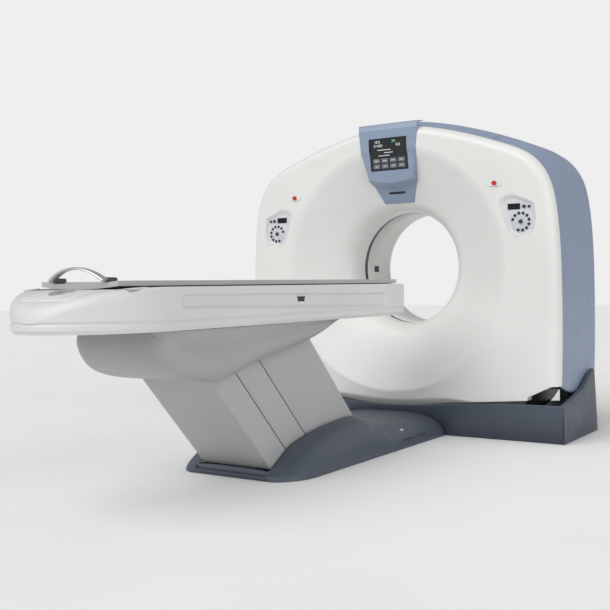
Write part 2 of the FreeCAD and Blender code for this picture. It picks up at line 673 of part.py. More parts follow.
def cross_shape(half_w, top, crown, y0, y1):
    """Low hood section: upright foot, sloping flank, rounded top."""
    pts = [(-half_w, 0), (-half_w + 3, 30), (-half_w + 45, 0.62 * top), (-half_w + 105, 0.93 * top),
           (-half_w + 150, crown), (half_w - 150, crown), (half_w - 105, 0.93 * top),
           (half_w - 45, 0.62 * top), (half_w - 3, 30), (half_w, 0)]
    return prism_y(pts, y0, y1)


def plan_block(half_w, rear, front, corner, z1):
    pts = [(-half_w, front), (-half_w, rear + 1.4 * corner), (-half_w + corner, rear), (half_w - corner, rear),
           (half_w, rear + 1.4 * corner), (half_w, front)]
    return prism_z(pts, -1, z1)


def table_base_block(inset):
    side = [(y + (inset if y < -1500 else 0), z - inset) for y, z in DOME]
    side[-1] = (LINK_Y, -inset)
    side[-2] = (LINK_Y, LINK_TOP - inset)
    half = TABLE_BASE_HALF_W - inset
    hood = cross_shape(half, 220 - inset, 222 - inset, TABLE_BASE_REAR - 10, LINK_Y + 10)
    plan = plan_block(half, TABLE_BASE_REAR + inset, LINK_Y, 150, 300)
    return prism_x(side, -400, 400).common(hood).common(plan)


def table_base_cover():
    cover = table_base_block(0).cut(table_base_block(WALL))
    leg = box(-LEG_SLOT_X, LEG_SLOT_X, LEG_SLOT_Y0, LEG_SLOT_Y1, -10, 400)
    sill = box(-LEG_SLOT_X, LEG_SLOT_X, TABLE_BASE_REAR - 10, LEG_SLOT_Y0 + 1, LEG_SILL_Z, 400)
    below = box(-500, 500, -2000, -900, -20, 0)
    return max(cover.cut(leg).cut(sill).cut(below).Solids, key=lambda s: s.Volume)


def link_cover():
    y0, y1 = LINK_Y + SEAM, FACE_Y + 20
    half = LINK_HALF_W + 17
    outer = cross_shape(half, LINK_TOP, LINK_TOP, y0, y1)
    inner = cross_shape(half - WALL, LINK_TOP - WALL, LINK_TOP - WALL, y0 - 1, y1 + 1)
    front = [(FACE_Y - SEAM, -1), (BASE_SIDE[1][0] - SEAM, BASE_SIDE[1][1]), (0, BASE_SIDE[1][1]), (0, -1)]
    cover = outer.cut(inner).cut(prism_x(front, -500, 500))
    return cover.cut(box(-500, 500, -2000, 0, -20, 0))


def arm_top(y, z, angle=LEAN, length=ARM_L):
    a = math.radians(angle)
    return y - length * math.cos(a), z + length * math.sin(a)


UP_FRONT = arm_top(ARM_FRONT_Y, ARM_Z)
UP_REAR = arm_top(ARM_REAR_Y, ARM_Z)
SIN, COS = math.sin(math.radians(LEAN)), math.cos(math.radians(LEAN))
LEG_REAR = (-1886.0, 58.0)         # a point of the leg's rear face
SLAT_PIVOTS = {"rear": (-1800.0, 20.0), "middle": (-1700.0, 30.0), "front": (-1300.0, 170.0)}
SLAT_AT = {"rear": 0, "middle": 1, "front": 2}
SEAM_1, SEAM_2, LEG_DEEP = 142.0, 304.0, 664.0
SLAT_LAP = 40.0
EAR_R = 15.0
FRAME_PLATE_X0, FRAME_PLATE_X1 = 146.0, 170.0


def leg_point(p, z):
    """Point of the leg at distance p in front of its rear face, at height z."""
    return LEG_REAR[0] + (p - (z - LEG_REAR[1]) * COS) / SIN, z


def slat_face_x(name):
    """Outer face of a slat."""
    return LEG_HALF_W - SLAT_AT[name] * SLAT_STEP


def stub_hole(name):
    y, z = SLAT_PIVOTS[name]
    return rod_x(STUB_R + RUN, -300, 300, y, z)


def slat_ear(name, p, z):
    """Tongue from a slat's pivot up into its side plate."""
    x1 = slat_face_x(name)
    return bar_between(SLAT_PIVOTS[name], leg_point(p, z), EAR_R, x1 - SLAT_T, x1)


def leg_cover_rear():
    """Channel: the leg's rear wall with a side strip each side."""
    x1 = slat_face_x("rear")
    profile = [leg_point(0, 46), leg_point(0, 562), leg_point(SEAM_1, 590), leg_point(SEAM_1, 84),
               leg_point(70, 60)]
    wall = [leg_point(0, 46), leg_point(0, 562), leg_point(SLAT_T, 562), leg_point(SLAT_T, 46)]
    strip = fused([prism_x(profile, x1 - SLAT_T, x1), slat_ear("rear", 50, 90)])
    cover = fused([both(strip), prism_x(wall, -x1, x1)])
    return cover.cut(stub_hole("rear"))


def leg_cover_middle():
    """Two side plates, each on its own stub pin, between the rear and front channels."""
    x1 = slat_face_x("middle")
    rear = SEAM_1 - SLAT_LAP
    profile = [leg_point(rear, 82), leg_point(rear, 600), leg_point(275, 625), leg_point(285, 590),
               leg_point(SEAM_2, 580), leg_point(SEAM_2, 140), leg_point(200, 82)]
    plate = fused([prism_x(profile, x1 - SLAT_T, x1), slat_ear("middle", 130, 100)]).cut(stub_hole("middle"))
    return group([plate, mirrored(plate)])


def leg_cover_front():
    """Channel: the leg's front wall with a wide side plate each side."""
    x1 = slat_face_x("front")
    rear, top = SEAM_2 - SLAT_LAP, 660
    profile = [leg_point(rear, 160), leg_point(rear, 690), leg_point(LEG_DEEP, top), leg_point(LEG_DEEP, 192),
               leg_point(520, 150), leg_point(400, 140)]
    wall = [leg_point(LEG_DEEP, 192), leg_point(LEG_DEEP, top), leg_point(LEG_DEEP - SLAT_T, top),
            leg_point(LEG_DEEP - SLAT_T, 192)]
    side = prism_x(profile, x1 - SLAT_T, x1)
    cover = fused([both(side), prism_x(wall, -x1, x1)])
    return cover.cut(stub_hole("front"))


def table_base_frame():
    """Floor frame: bottom plate, two upright plates that carry every lower pivot."""
    upright = [(-1165, 10), (-1826, 10), (-1826, 60), (-1745, 118), (-1720, 135), (-1680, 135), (-1640, 118),
               (-1340, 130), (-1325, 196), (-1275, 196), (-1255, 130), (-1165, 120)]
    plate = prism_x(upright, FRAME_PLATE_X0, FRAME_PLATE_X1)
    floor = box(-FRAME_PLATE_X1, FRAME_PLATE_X1, -1826, -1010, 0, 10)
    wing = TABLE_BASE_HALF_W - WALL - 1 - SLIP
    floor = floor.fuse(box(-wing, wing, -1075, -1015, 0, 10))
    beam = box(-110, 110, -1030, -CROSS_Y - CROSS_HALF, 0, 40)
    frame = fused([both(plate), floor, beam])
    for y in (ARM_FRONT_Y, ARM_REAR_Y):
        frame = frame.cut(rod_x(SHAFT_R, -300, 300, y, ARM_Z))
    for y, z in SLAT_PIVOTS.values():
        frame = frame.cut(rod_x(STUB_R, -300, 300, y, z))
    return frame


def base_pivots():
    """Two through shafts for the arms, six stub pins for the leg covers, the actuator's pin."""
    shafts = [rod_x(SHAFT_R, -FRAME_PLATE_X1, FRAME_PLATE_X1, y, ARM_Z) for y in (ARM_FRONT_Y, ARM_REAR_Y)]
    stubs = []
    for name, (y, z) in SLAT_PIVOTS.items():
        stub = rod_x(STUB_R, FRAME_PLATE_X0, slat_face_x(name), y, z)
        stubs += [stub, mirrored(stub)]
    return shafts + stubs


# ---------------------------------------------------------------- lift linkage
LUG_X = 38.0
ACT_BARREL_R = 34.0
ACT_ROD_R = 18.0
ACT_PIN_R = 12.0
ACT_LUG = 180.0 - LEAN - ACT_OFFSET


def act_base():
    return ARM_FRONT_Y - ACT_R, ARM_Z


def act_top():
    a = math.radians(ACT_LUG)
    return ARM_FRONT_Y + ACT_R * math.cos(a), ARM_Z + ACT_R * math.sin(a)


def bar_between(a, b, half, x0, x1):
    """Flat bar with round ends between two points of the side view."""
    dy, dz = b[0] - a[0], b[1] - a[1]
    size = math.hypot(dy, dz)
    ny, nz = -dz / size * half, dy / size * half
    strip = prism_x([(a[0] + ny, a[1] + nz), (b[0] + ny, b[1] + nz), (b[0] - ny, b[1] - nz),
                     (a[0] - ny, a[1] - nz)], x0, x1)
    return fused([strip, rod_x(half, x0, x1, *a), rod_x(half, x0, x1, *b)])


def lift_arm(low, high):
    bar = bar_between(low, high, ARM_DEPTH / 2, ARM_BAR_X0, ARM_BAR_X1)
    mid = ((low[0] + high[0]) / 2, (low[1] + high[1]) / 2)
    tie = rod_x(25, -ARM_BAR_X0, ARM_BAR_X0, *mid)
    arm = fused([bar, mirrored(bar), tie])
    for y, z in (low, high):
        arm = arm.cut(rod_x(SHAFT_R + RUN, -300, 300, y, z))
    return arm


def lift_arm_front():
    """Front arm with two crank plates that hold the actuator's upper pin."""
    low = (ARM_FRONT_Y, ARM_Z)
    crank = bar_between(low, act_top(), 30, ARM_BAR_X0 - 20, ARM_BAR_X0)
    crank = crank.cut(rod_x(SHAFT_R + RUN, 0, 300, *low))
    pin = rod_x(ACT_PIN_R, -ARM_BAR_X0 + 20, ARM_BAR_X0 - 20, *act_top())
    return fused([lift_arm(low, UP_FRONT), crank, mirrored(crank), pin])


def lift_arm_rear():
    return lift_arm((ARM_REAR_Y, ARM_Z), UP_REAR)


def act_axis():
    (ya, za), (yb, zb) = act_base(), act_top()
    size = math.hypot(yb - ya, zb - za)
    return V(0, (yb - ya) / size, (zb - za) / size), size


def along(distance, r, length):
    """Cylinder on the actuator's line, starting at a distance from its base pin."""
    axis = act_axis()[0]
    y, z = act_base()
    return Part.makeCylinder(r, length, V(0, y, z) + axis * distance, axis)


def actuator_bracket():
    y, z = act_base()
    cheek = prism_x([(y - 34, 10), (y + 34, 10), (y + 20, z + 16), (y - 20, z + 16)], LUG_X, LUG_X + 14)
    pin = rod_x(ACT_PIN_R, -LUG_X, LUG_X, y, z)
    return fused([both(cheek), pin])


def actuator_barrel():
    eye = rod_x(24, -LUG_X + 2, LUG_X - 2, *act_base())
    body = fused([eye, along(15, ACT_BARREL_R, 205)])
    body = body.cut(along(55, ACT_ROD_R + RUN, 400))
    return body.cut(rod_x(ACT_PIN_R + RUN, -60, 60, *act_base()))


def actuator_rod():
    """Rod whose eye is a short slot, because its stroke follows the arm almost, not exactly."""
    axis, size = act_axis()
    rod = along(size - 190, ACT_ROD_R, 170)
    eye = rod_x(26, -24, 24, *act_top())
    rod = fused([rod, eye])
    pin = ACT_PIN_R + 0.3
    top = V(0, *act_top())
    ends = [top + axis * (s * EYE_SLOT) for s in (-1, 1)]
    slot = fused([rod_x(pin, -60, 60, e.y, e.z) for e in ends])
    side = V(0, -axis.z, axis.y) * pin
    corners = [ends[0] + side, ends[1] + side, ends[1] - side, ends[0] - side]
    slot = slot.fuse(prism_x([(c.y, c.z) for c in corners], -60, 60))
    return rod.cut(slot)


# ---------------------------------------------------------------- table top
RAIL_X0, RAIL_X1 = 225.0, 262.0
RAIL_Z0 = 790.0
RAIL_FOOT_Y, RAIL_HEAD_Y = -2820.0, -800.0


def table_frame():
    """Two box rails, cross members clear of the leg, and the arms' upper shafts."""
    rail = box(RAIL_X0, RAIL_X1, RAIL_FOOT_Y, RAIL_HEAD_Y, RAIL_Z0, DECK_Z)
    cross = [box(-RAIL_X0 - 5, RAIL_X0 + 5, y, y + 50, 800, 862)
             for y in (RAIL_FOOT_Y + 20, RAIL_FOOT_Y + 150, RAIL_HEAD_Y - 70)]
    shafts = [rod_x(SHAFT_R, -RAIL_X0 - 10, RAIL_X0 + 10, *p) for p in (UP_FRONT, UP_REAR)]
    return fused([rail, mirrored(rail)] + cross + shafts)


def table_plan(inset, z0, z1):
    """Block of the table's plan: straight sides, tapered head, half-ellipse foot."""
    w, h = TABLE_HALF_W - inset, TABLE_HEAD_HALF_W - inset
    head = TABLE_HEAD_Y - inset
    ellipse = Part.Ellipse(V(0, NOSE_Y - NOSE_L + inset, z0), V(w, NOSE_Y, z0), V(0, NOSE_Y, z0))
    lines = [(V(w, NOSE_Y, z0), V(w, TAPER_Y, z0)), (V(w, TAPER_Y, z0), V(h, head, z0)),
             (V(h, head, z0), V(-h, head, z0)), (V(-h, head, z0), V(-w, TAPER_Y, z0)),
             (V(-w, TAPER_Y, z0), V(-w, NOSE_Y, z0))]
    body = Part.Face(Part.Wire([Part.LineSegment(a, b).toShape() for a, b in lines]
                               + [Part.LineSegment(V(-w, NOSE_Y, z0), V(w, NOSE_Y, z0)).toShape()]))
    oval = Part.Face(Part.Wire([ellipse.toShape()]))
    return body.extrude(V(0, 0, z1 - z0)).fuse(oval.extrude(V(0, 0, z1 - z0))).removeSplitter()


NOSE_TOP = [(-3101, 802), (-3080, 826), (-3030, 853), (-2960, 876), (-2880, 890), (-2780, 897)]


def nose_air(drop):
    """Everything above the foot end's falling top, lowered by 'drop'."""
    top = [(y, z - drop) for y, z in NOSE_TOP]
    return prism_x([(-3400, 780 - drop)] + top + [(-2780, 1200), (-3400, 1200)], -600, 600)


PANEL_HALF_W = 150.0       # insert in the foot end's top
PANEL_INSERT_T = 3.0
CAP_Y, CAP_R = -2935.0, 50.0


def insert_zone(clear):
    """Plan of the foot end's insert, from the deck's well to short of the end."""
    return box(-PANEL_HALF_W - clear, PANEL_HALF_W + clear, NOSE_Y - NOSE_L + 30 - clear,
               DECK_FOOT_Y - 8 + clear, 700, 1200)


def table_cover():
    """One deep moulding: both sides, the tapered head end and the rounded foot end."""
    outer = table_plan(0, TABLE_BOTTOM_Z, TABLE_TOP_Z).cut(nose_air(0))
    inner = table_plan(WALL, TABLE_BOTTOM_Z + WALL, TABLE_TOP_Z - WALL).cut(nose_air(WALL + PANEL_INSERT_T))
    shell = outer.cut(inner)
    well = box(-DECK_HALF_W - SLIP, DECK_HALF_W + SLIP, DECK_FOOT_Y - SLIP, -500, DECK_Z - 4, 1000)
    head = box(-400, 400, TAPER_Y, -500, DECK_Z + DECK_T, 1000)
    under = box(-BELLY_HALF_W + 20, BELLY_HALF_W - 20, -2600, TAPER_Y + 100, 600, TABLE_BOTTOM_Z + 2 * WALL)
    insert = insert_zone(0).common(nose_air(PANEL_INSERT_T))
    shell = shell.cut(well.common(table_plan(WALL, 600, 1000))).cut(head).cut(under).cut(insert)
    return max(shell.Solids, key=lambda s: s.Volume)


def foot_panel():
    """Thin insert in the foot end's top, with a round hole for its cap."""
    panel = insert_zone(-SLIP).cut(nose_air(0)).common(nose_air(PANEL_INSERT_T))
    return panel.cut(Part.makeCylinder(CAP_R + SLIP, 400, V(0, CAP_Y, 700)))


def foot_cap():
    """Plain round cap that fills the insert's hole and stands a little proud."""
    disc = Part.makeCylinder(CAP_R, 400, V(0, CAP_Y, 700))
    return disc.common(nose_air(PANEL_INSERT_T)).cut(nose_air(-2.0))


def table_deck():
    """Flat tray that the board slides on, ends inside the cover's head end."""
    straight = box(-DECK_HALF_W, DECK_HALF_W, DECK_FOOT_Y, TAPER_Y - 20, DECK_Z, DECK_Z + DECK_T)
    head = box(-RAIL_X1, RAIL_X1, TAPER_Y - 20, TABLE_HEAD_Y - 40, DECK_Z, DECK_Z + DECK_T)
    return fused([straight, head]).common(table_plan(WALL + SLIP, 800, 1000))


BELLY_HALF_W = 300.0
BELLY_TOP = TABLE_BOTTOM_Z - SEAM
BELLY_REAR = -2670.0
BELLY_FRONT = -1400.0
BELLY_SIDE = [(BELLY_REAR, BELLY_TOP), (-2657, 640), (-2602, 572), (-2512, 527), (-2400, 503),
              (-2300, 494), (-2190, 514), (-2044, 551), (-1630, 628), (-1440, 700), (BELLY_FRONT, BELLY_TOP)]


def belly_section(grow, y0, y1):
    """Cross section: full width at the top, tucked in below."""
    w = BELLY_HALF_W - grow
    pts = [(-w, BELLY_TOP + 1), (-w + 5, 680), (-w + 28, 580), (-w + 52, 520), (-w + 80, 490 + grow),
           (w - 80, 490 + grow), (w - 52, 520), (w - 28, 580), (w - 5, 680), (w, BELLY_TOP + 1)]
    return prism_y(pts, y0, y1)


def belly_plan(inset):
    """Plan of the belly: rear corners cut back."""
    w, rear, corner = BELLY_HALF_W - inset, BELLY_REAR + inset, 110
    pts = [(-w, -1300), (-w, rear + 1.3 * corner), (-w + 0.3 * corner, rear + 0.45 * corner),
           (-w + corner, rear), (w - corner, rear), (w - 0.3 * corner, rear + 0.45 * corner),
           (w, rear + 1.3 * corner), (w, -1300)]
    return prism_z(pts, 400, 900)


def belly_block(inset):
    side = [(y + (inset if i < 3 else 0), z + inset) for i, (y, z) in enumerate(BELLY_SIDE)]
    side[0] = (BELLY_REAR + inset, BELLY_TOP + 2 * inset)
    side[-1] = (BELLY_FRONT - 3 * inset, BELLY_TOP + 2 * inset)
    return prism_x(side, -400, 400).common(belly_section(inset, -3000, -1300)).common(belly_plan(inset))


def belly_cover():
    """Grey shell under the table, open above and where the leg goes in."""
    cover = belly_block(0).cut(belly_block(WALL))
    cover = cover.cut(box(-500, 500, -3000, -1300, BELLY_TOP, 900))
    leg = box(-LEG_SLOT_X, LEG_SLOT_X, -2372, -1300, 400, 900)
    return max(cover.cut(leg).Solids, key=lambda s: s.Volume)


HANDLE_HALF = 152.0
HANDLE_Y0, HANDLE_Y1 = -2880.0, -2844.0
HANDLE_FOOT_Y = -2790.0
HANDLE_RISE = 50.0
HANDLE_T = 9.0


def cradle_top(x):
    return DECK_Z + DECK_T + SLIP + CRADLE_T + CRADLE_SAG * (x / CRADLE_HALF_W) ** 2


def cradle():
    """Carbon board with a hollow upper face and a flat keel that slides on the deck."""
    z0 = DECK_Z + DECK_T + SLIP
    w = CRADLE_HALF_W

    def arc(top):
        t = CRADLE_T if top else 0.0
        return [V(-w, 0, z0 + CRADLE_SAG + t), V(0, 0, z0 + t), V(w, 0, z0 + CRADLE_SAG + t)]
    low, high = arc(False), arc(True)
    edges = [Part.Arc(*low).toShape(), Part.LineSegment(low[2], high[2]).toShape(),
             Part.Arc(*reversed(high)).toShape(), Part.LineSegment(high[0], low[0]).toShape()]
    board = Part.Face(Part.Wire(edges)).extrude(V(0, CRADLE_HEAD_Y - CRADLE_FOOT_Y, 0))
    board.translate(V(0, CRADLE_FOOT_Y, 0))
    return board


def cradle_handle():
    """Metal ribbon arched across the board's foot end, its feet lying along the board's edges."""
    base = cradle_top(HANDLE_HALF) - 1

    def arch(half, rise):
        p = [V(-half, HANDLE_Y0, base), V(0, HANDLE_Y0, base + rise), V(half, HANDLE_Y0, base)]
        return Part.Arc(*p).toShape(), p[0], p[2]
    outer, o0, o1 = arch(HANDLE_HALF, HANDLE_RISE)
    inner, i0, i1 = arch(HANDLE_HALF - 2.2 * HANDLE_T, HANDLE_RISE - HANDLE_T)
    wire = Part.Wire(Part.__sortEdges__([outer, inner, Part.LineSegment(o0, i0).toShape(),
                                         Part.LineSegment(o1, i1).toShape()]))
    ribbon = Part.Face(wire).extrude(V(0, HANDLE_Y1 - HANDLE_Y0, 0))
    foot = box(HANDLE_HALF - 2.2 * HANDLE_T, HANDLE_HALF, HANDLE_Y1 - 5, HANDLE_FOOT_Y, base - 10, base + 7)
    handle = fused([ribbon, foot, mirrored(foot)]).cut(cradle())
    handle.translate(V(0, 0, SLIP))
    return handle


# ---------------------------------------------------------------- build
def keep(name, shape):
    assert shape.isValid(), name
    export(name, shape)


def build():
    struts = gantry_struts()
    frame = fused([tilt_frame()] + struts)
    right, left, top = wrap_covers()
    tray = knob_holes(control_panel())
    housing = display_housing()
    parts = {
        "gantry_base_frame": base_frame(), "gantry_base_cover": base_cover(),
        "tilt_bushes": group(tilt_bushes()), "tilt_gearmotor": tilt_gearmotor(),
        "link_cover": link_cover(), "table_base_frame": fused([table_base_frame(), actuator_bracket()]),
        "table_base_cover": table_base_cover(), "base_pivots": group(base_pivots()),
        "tilt_frame": frame, "bearing_outer_ring": ring_y(BEARING_R2, BEARING_R3, BEARING_Y0, BEARING_Y1),
        "front_cover": front_cover(), "rear_cover": rear_cover(), "right_side_cover": right,
        "left_side_cover": left, "top_cover": top, "display_housing": housing,
        "display_screen": tilted_screen(SCREEN_HALF_W, SCREEN_Z0, SCREEN_Z1, 4, SCREEN_T),
        "scan_window_ring": scan_window_ring(), "light_windows": group([light_window(), mirrored(light_window())]),
        "drive_motor": drive_motor(), "drive_belt": drive_belt(), "brush_block": brush_block(),
        "right_control_panel": tray, "left_control_panel": mirrored(tray),
        "keypads": group([keypad(), mirrored(keypad())]),
        "panel_readouts": group([panel_readout(), mirrored(panel_readout())]),
        "stop_plates": group([estop_plate(), mirrored(estop_plate())]),
        "rotor_drum": rotor_drum(), "bearing_inner_ring": ring_y(SLEEVE_R1, BEARING_R1, BEARING_Y0, BEARING_Y1),
        "xray_tube": xray_tube(), "collimator": collimator(), "detector": detector(),
        "hv_generator": hv_generator(), "power_unit": power_unit(), "heat_exchanger": heat_exchanger(),
        "slip_ring": slip_ring(), "motor_pulley": motor_pulley(),
        "lift_arm_front": lift_arm_front(), "lift_arm_rear": lift_arm_rear(),
        "leg_cover_rear": leg_cover_rear(), "leg_cover_middle": leg_cover_middle(),
        "leg_cover_front": leg_cover_front(), "actuator_barrel": actuator_barrel(),
        "actuator_rod": actuator_rod(), "table_frame": table_frame(), "table_deck": table_deck(),
        "table_cover": table_cover(), "foot_panel": foot_panel(), "foot_cap": foot_cap(),
        "belly_cover": belly_cover(),
        "cradle": cradle(), "cradle_handle": cradle_handle(),
    }
    for name in KNOBS:
        parts["right_" + name] = knob(name)
        parts["left_" + name] = mirrored(knob(name))
    parts["right_emergency_stop"] = estop_button()
    parts["left_emergency_stop"] = mirrored(estop_button())
    for name, shape in parts.items():
        keep(name, shape)


build()
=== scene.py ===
"""CT scanner: the finish of every cover, board, panel and button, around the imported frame."""
import bmesh
import bpy
import math
import numpy as np
from mathutils import Matrix, Vector


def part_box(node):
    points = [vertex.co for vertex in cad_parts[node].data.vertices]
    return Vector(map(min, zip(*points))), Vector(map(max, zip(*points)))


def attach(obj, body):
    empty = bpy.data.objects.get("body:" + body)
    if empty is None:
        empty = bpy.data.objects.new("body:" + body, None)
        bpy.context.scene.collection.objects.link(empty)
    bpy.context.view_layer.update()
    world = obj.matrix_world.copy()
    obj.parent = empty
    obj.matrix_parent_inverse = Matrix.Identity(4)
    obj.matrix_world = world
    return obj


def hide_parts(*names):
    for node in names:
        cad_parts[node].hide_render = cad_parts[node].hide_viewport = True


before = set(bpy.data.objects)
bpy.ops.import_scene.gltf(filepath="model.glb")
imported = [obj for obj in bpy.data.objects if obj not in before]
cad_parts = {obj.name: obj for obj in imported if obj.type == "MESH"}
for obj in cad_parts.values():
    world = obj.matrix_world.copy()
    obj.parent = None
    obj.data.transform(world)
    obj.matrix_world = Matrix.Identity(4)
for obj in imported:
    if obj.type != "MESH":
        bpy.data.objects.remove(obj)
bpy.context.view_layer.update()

# ------------------------------------------------------------------ sizes, in metres
ISO = 1.0                  # height of the bore's axis
BORE = 0.350               # radius of the throat
LIP = 0.150                # rounding from the throat to the funnel
FACE_Y = -0.333            # flat face of the front cover
SPLIT_Y = -0.262           # seam between the front cover and the crown
REAR_Y = 0.430             # back of the rear cover
COVER_WALL = 0.004         # thickness of the moulded covers
GAP = 0.0012               # visible seam between covers
EDGE = 0.062               # how far the front cover's edge rounds inwards
BAND_R = 0.850             # outer edge of the shallow bevel round the funnel
SKIRT_R = 0.742            # lower edge of the side covers, about the tilt axis
COVER_SPLIT_X = 0.640      # seam between the top and side covers
NOTCH_TOP = 0.315          # height of the front cover's stepped lower corners
CROWN = np.array([(0, 1.866), (0.200, 1.844), (0.435, 1.789), (0.713, 1.696), (0.890, 1.604), (0.975, 1.491),
                  (1.017, 1.335), (1.040, 1.082), (1.046, 0.850), (1.046, 0.560), (1.040, 0.300)])


# ------------------------------------------------------------------ curve and mesh tools
def spline(knots, count):
    """Natural cubic spline through the knots, by chord length, evaluated at evenly spaced lengths."""
    knots = np.asarray(knots, float)
    t = np.r_[0, np.cumsum(np.linalg.norm(np.diff(knots, axis=0), axis=1))]
    h = np.diff(t)
    n = len(knots)
    system = np.eye(n)
    right = np.zeros_like(knots)
    for i in range(1, n - 1):
        system[i, i - 1:i + 2] = h[i - 1], 2 * (h[i - 1] + h[i]), h[i]
        right[i] = 6 * ((knots[i + 1] - knots[i]) / h[i] - (knots[i] - knots[i - 1]) / h[i - 1])
    bend = np.linalg.solve(system, right)
    s = np.linspace(0, t[-1], count)
    i = np.clip(np.searchsorted(t, s, side="right") - 1, 0, n - 2)
    a, b = (t[i + 1] - s) / h[i], (s - t[i]) / h[i]
    a, b, step = a[:, None], b[:, None], h[i][:, None]
    return (a * knots[i] + b * knots[i + 1]
            + ((a ** 3 - a) * bend[i] + (b ** 3 - b) * bend[i + 1]) * step ** 2 / 6)


def resample(line, count, closed=False):
    """Points evenly spaced by length along a polyline."""
    line = np.asarray(line, float)
    if closed:
        line = np.vstack([line, line[:1]])
    s = np.r_[0, np.cumsum(np.linalg.norm(np.diff(line, axis=0), axis=1))]
    at = np.linspace(0, s[-1], count, endpoint=not closed)
    return np.stack([np.interp(at, s, line[:, k]) for k in range(line.shape[1])], axis=1)


def soften(loop, reach):
    """Closed loop averaged with a bell-shaped window of the given reach, which rounds its corners."""
    step = np.linalg.norm(loop[1] - loop[0])
    half = max(int(2.5 * reach / step), 1)
    k = np.arange(-half, half + 1)
    w = np.exp(-0.5 * (k * step / reach) ** 2)
    w /= w.sum()
    return sum(wi * np.roll(loop, -ki, axis=0) for wi, ki in zip(w, k))


def normals_of(line, closed=False):
    """Unit normals to the left of a polyline's direction of travel."""
    if closed:
        d = np.roll(line, -1, axis=0) - np.roll(line, 1, axis=0)
    else:
        d = np.gradient(line, axis=0)
    d /= np.linalg.norm(d, axis=1)[:, None]
    return np.stack([-d[:, 1], d[:, 0]], axis=1)


def smooth_max(a, b, reach):
    """The larger of two fields, with a parabola of the given reach where they cross."""
    h = np.clip(1 - np.abs(a - b) / reach, 0, 1)
    return np.maximum(a, b) + h * h * reach / 4


def ramp(x, low, high):
    """Smooth step from 0 at low to 1 at high."""
    t = np.clip((x - low) / (high - low), 0, 1)
    return t * t * (3 - 2 * t)


def xyz(x, y, z):
    return np.stack(np.broadcast_arrays(x, y, z), axis=-1).astype(float)


def quads_of(grid, wrap=False, keep=None, inside=None):
    """Corner points and quads of a grid of rows and columns, facing away from 'inside'."""
    rows, cols = grid.shape[:2]
    index = np.arange(rows * cols).reshape(rows, cols)
    left = np.arange(cols if wrap else cols - 1)
    right = (left + 1) % cols
    upper, lower = index[:-1], index[1:]
    quads = np.stack([upper[:, left], upper[:, right], lower[:, right], lower[:, left]], -1)
    if keep is not None:
        quads = quads[keep]
    quads = quads.reshape(-1, 4)
    flat = grid.reshape(-1, 3)
    if inside is not None:
        a, b, c, d = (flat[quads[:, i]] for i in range(4))
        normal = np.cross(c - a, d - b)
        if (normal * ((a + b + c + d) / 4 - np.asarray(inside))).sum() < 0:
            quads = quads[:, ::-1]
    return flat, quads


def piece(name, grids, body, material, inside=None, wrap=False, keep=None, wall=0.0, angle=35):
    """One object from a grid, or from a list of grids: wrap joins the last column to the first,
    keep says which quads stay, wall is a thickness added on the inner side."""
    if isinstance(grids, np.ndarray):
        grids = [grids]
    insides = inside if isinstance(inside, list) else [inside] * len(grids)
    points, faces, start = [], [], 0
    for grid, middle in zip(grids, insides):
        flat, quads = quads_of(grid, wrap, keep, middle)
        points.append(flat)
        faces.append(quads + start)
        start += len(flat)
    return add(name, np.concatenate(points), np.concatenate(faces).tolist(), body, material, wall,
               angle)


def add(name, points, faces, body, material, wall=0.0, angle=35):
    mesh = bpy.data.meshes.new(name)
    mesh.from_pydata(np.asarray(points).tolist(), [], faces)
    work = bmesh.new()
    work.from_mesh(mesh)
    bmesh.ops.remove_doubles(work, verts=work.verts, dist=2e-5)
    bmesh.ops.delete(work, geom=[v for v in work.verts if not v.link_faces], context="VERTS")
    work.to_mesh(mesh)
    work.free()
    mesh.validate()
    mesh.polygons.foreach_set("use_smooth", np.ones(len(mesh.polygons), bool))
    mesh.set_sharp_from_angle(angle=math.radians(angle))
    thing = bpy.data.objects.new(name, mesh)
    bpy.context.scene.collection.objects.link(thing)
    thing.data.materials.append(material)
    if wall:
        solid = thing.modifiers.new("wall", "SOLIDIFY")
        solid.thickness = wall
        solid.offset = -1
    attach(thing, body)
    return thing


def freeze(thing):
    """Apply a piece's modifiers."""
    view = bpy.context.evaluated_depsgraph_get()
    view.update()
    mesh = bpy.data.meshes.new_from_object(thing.evaluated_get(view))
    thing.modifiers.clear()
    thing.data = mesh
    return thing


def cut(thing, cutters, angle=35):
    """Take closed shapes out of a piece."""
    freeze(thing)
    for points, faces in cutters:
        mesh = bpy.data.meshes.new("cutter")
        mesh.from_pydata(points, [], faces)
        tool = bpy.data.objects.new("cutter", mesh)
        bpy.context.scene.collection.objects.link(tool)
        knife = thing.modifiers.new("cut", "BOOLEAN")
        knife.operation = "DIFFERENCE"
        knife.solver = "EXACT"
        knife.object = tool
        freeze(thing)
        bpy.data.objects.remove(tool)
    thing.data.set_sharp_from_angle(angle=math.radians(angle))
    return thing


def prism(outline, y0, y1):
    """Closed prism along Y from an outline in X and Z."""
    n = len(outline)
    points = [(x, y0, z) for x, z in outline] + [(x, y1, z) for x, z in outline]
    sides = [(i, (i + 1) % n, n + (i + 1) % n, n + i) for i in range(n)]
    following = list(outline[1:]) + [outline[0]]
    area = sum(x0 * z1 - x1 * z0 for (x0, z0), (x1, z1) in zip(outline, following))
    faces = [tuple(range(n)), tuple(range(2 * n - 1, n - 1, -1))] + [f[::-1] for f in sides]
    return points, faces if area > 0 else [f[::-1] for f in faces]


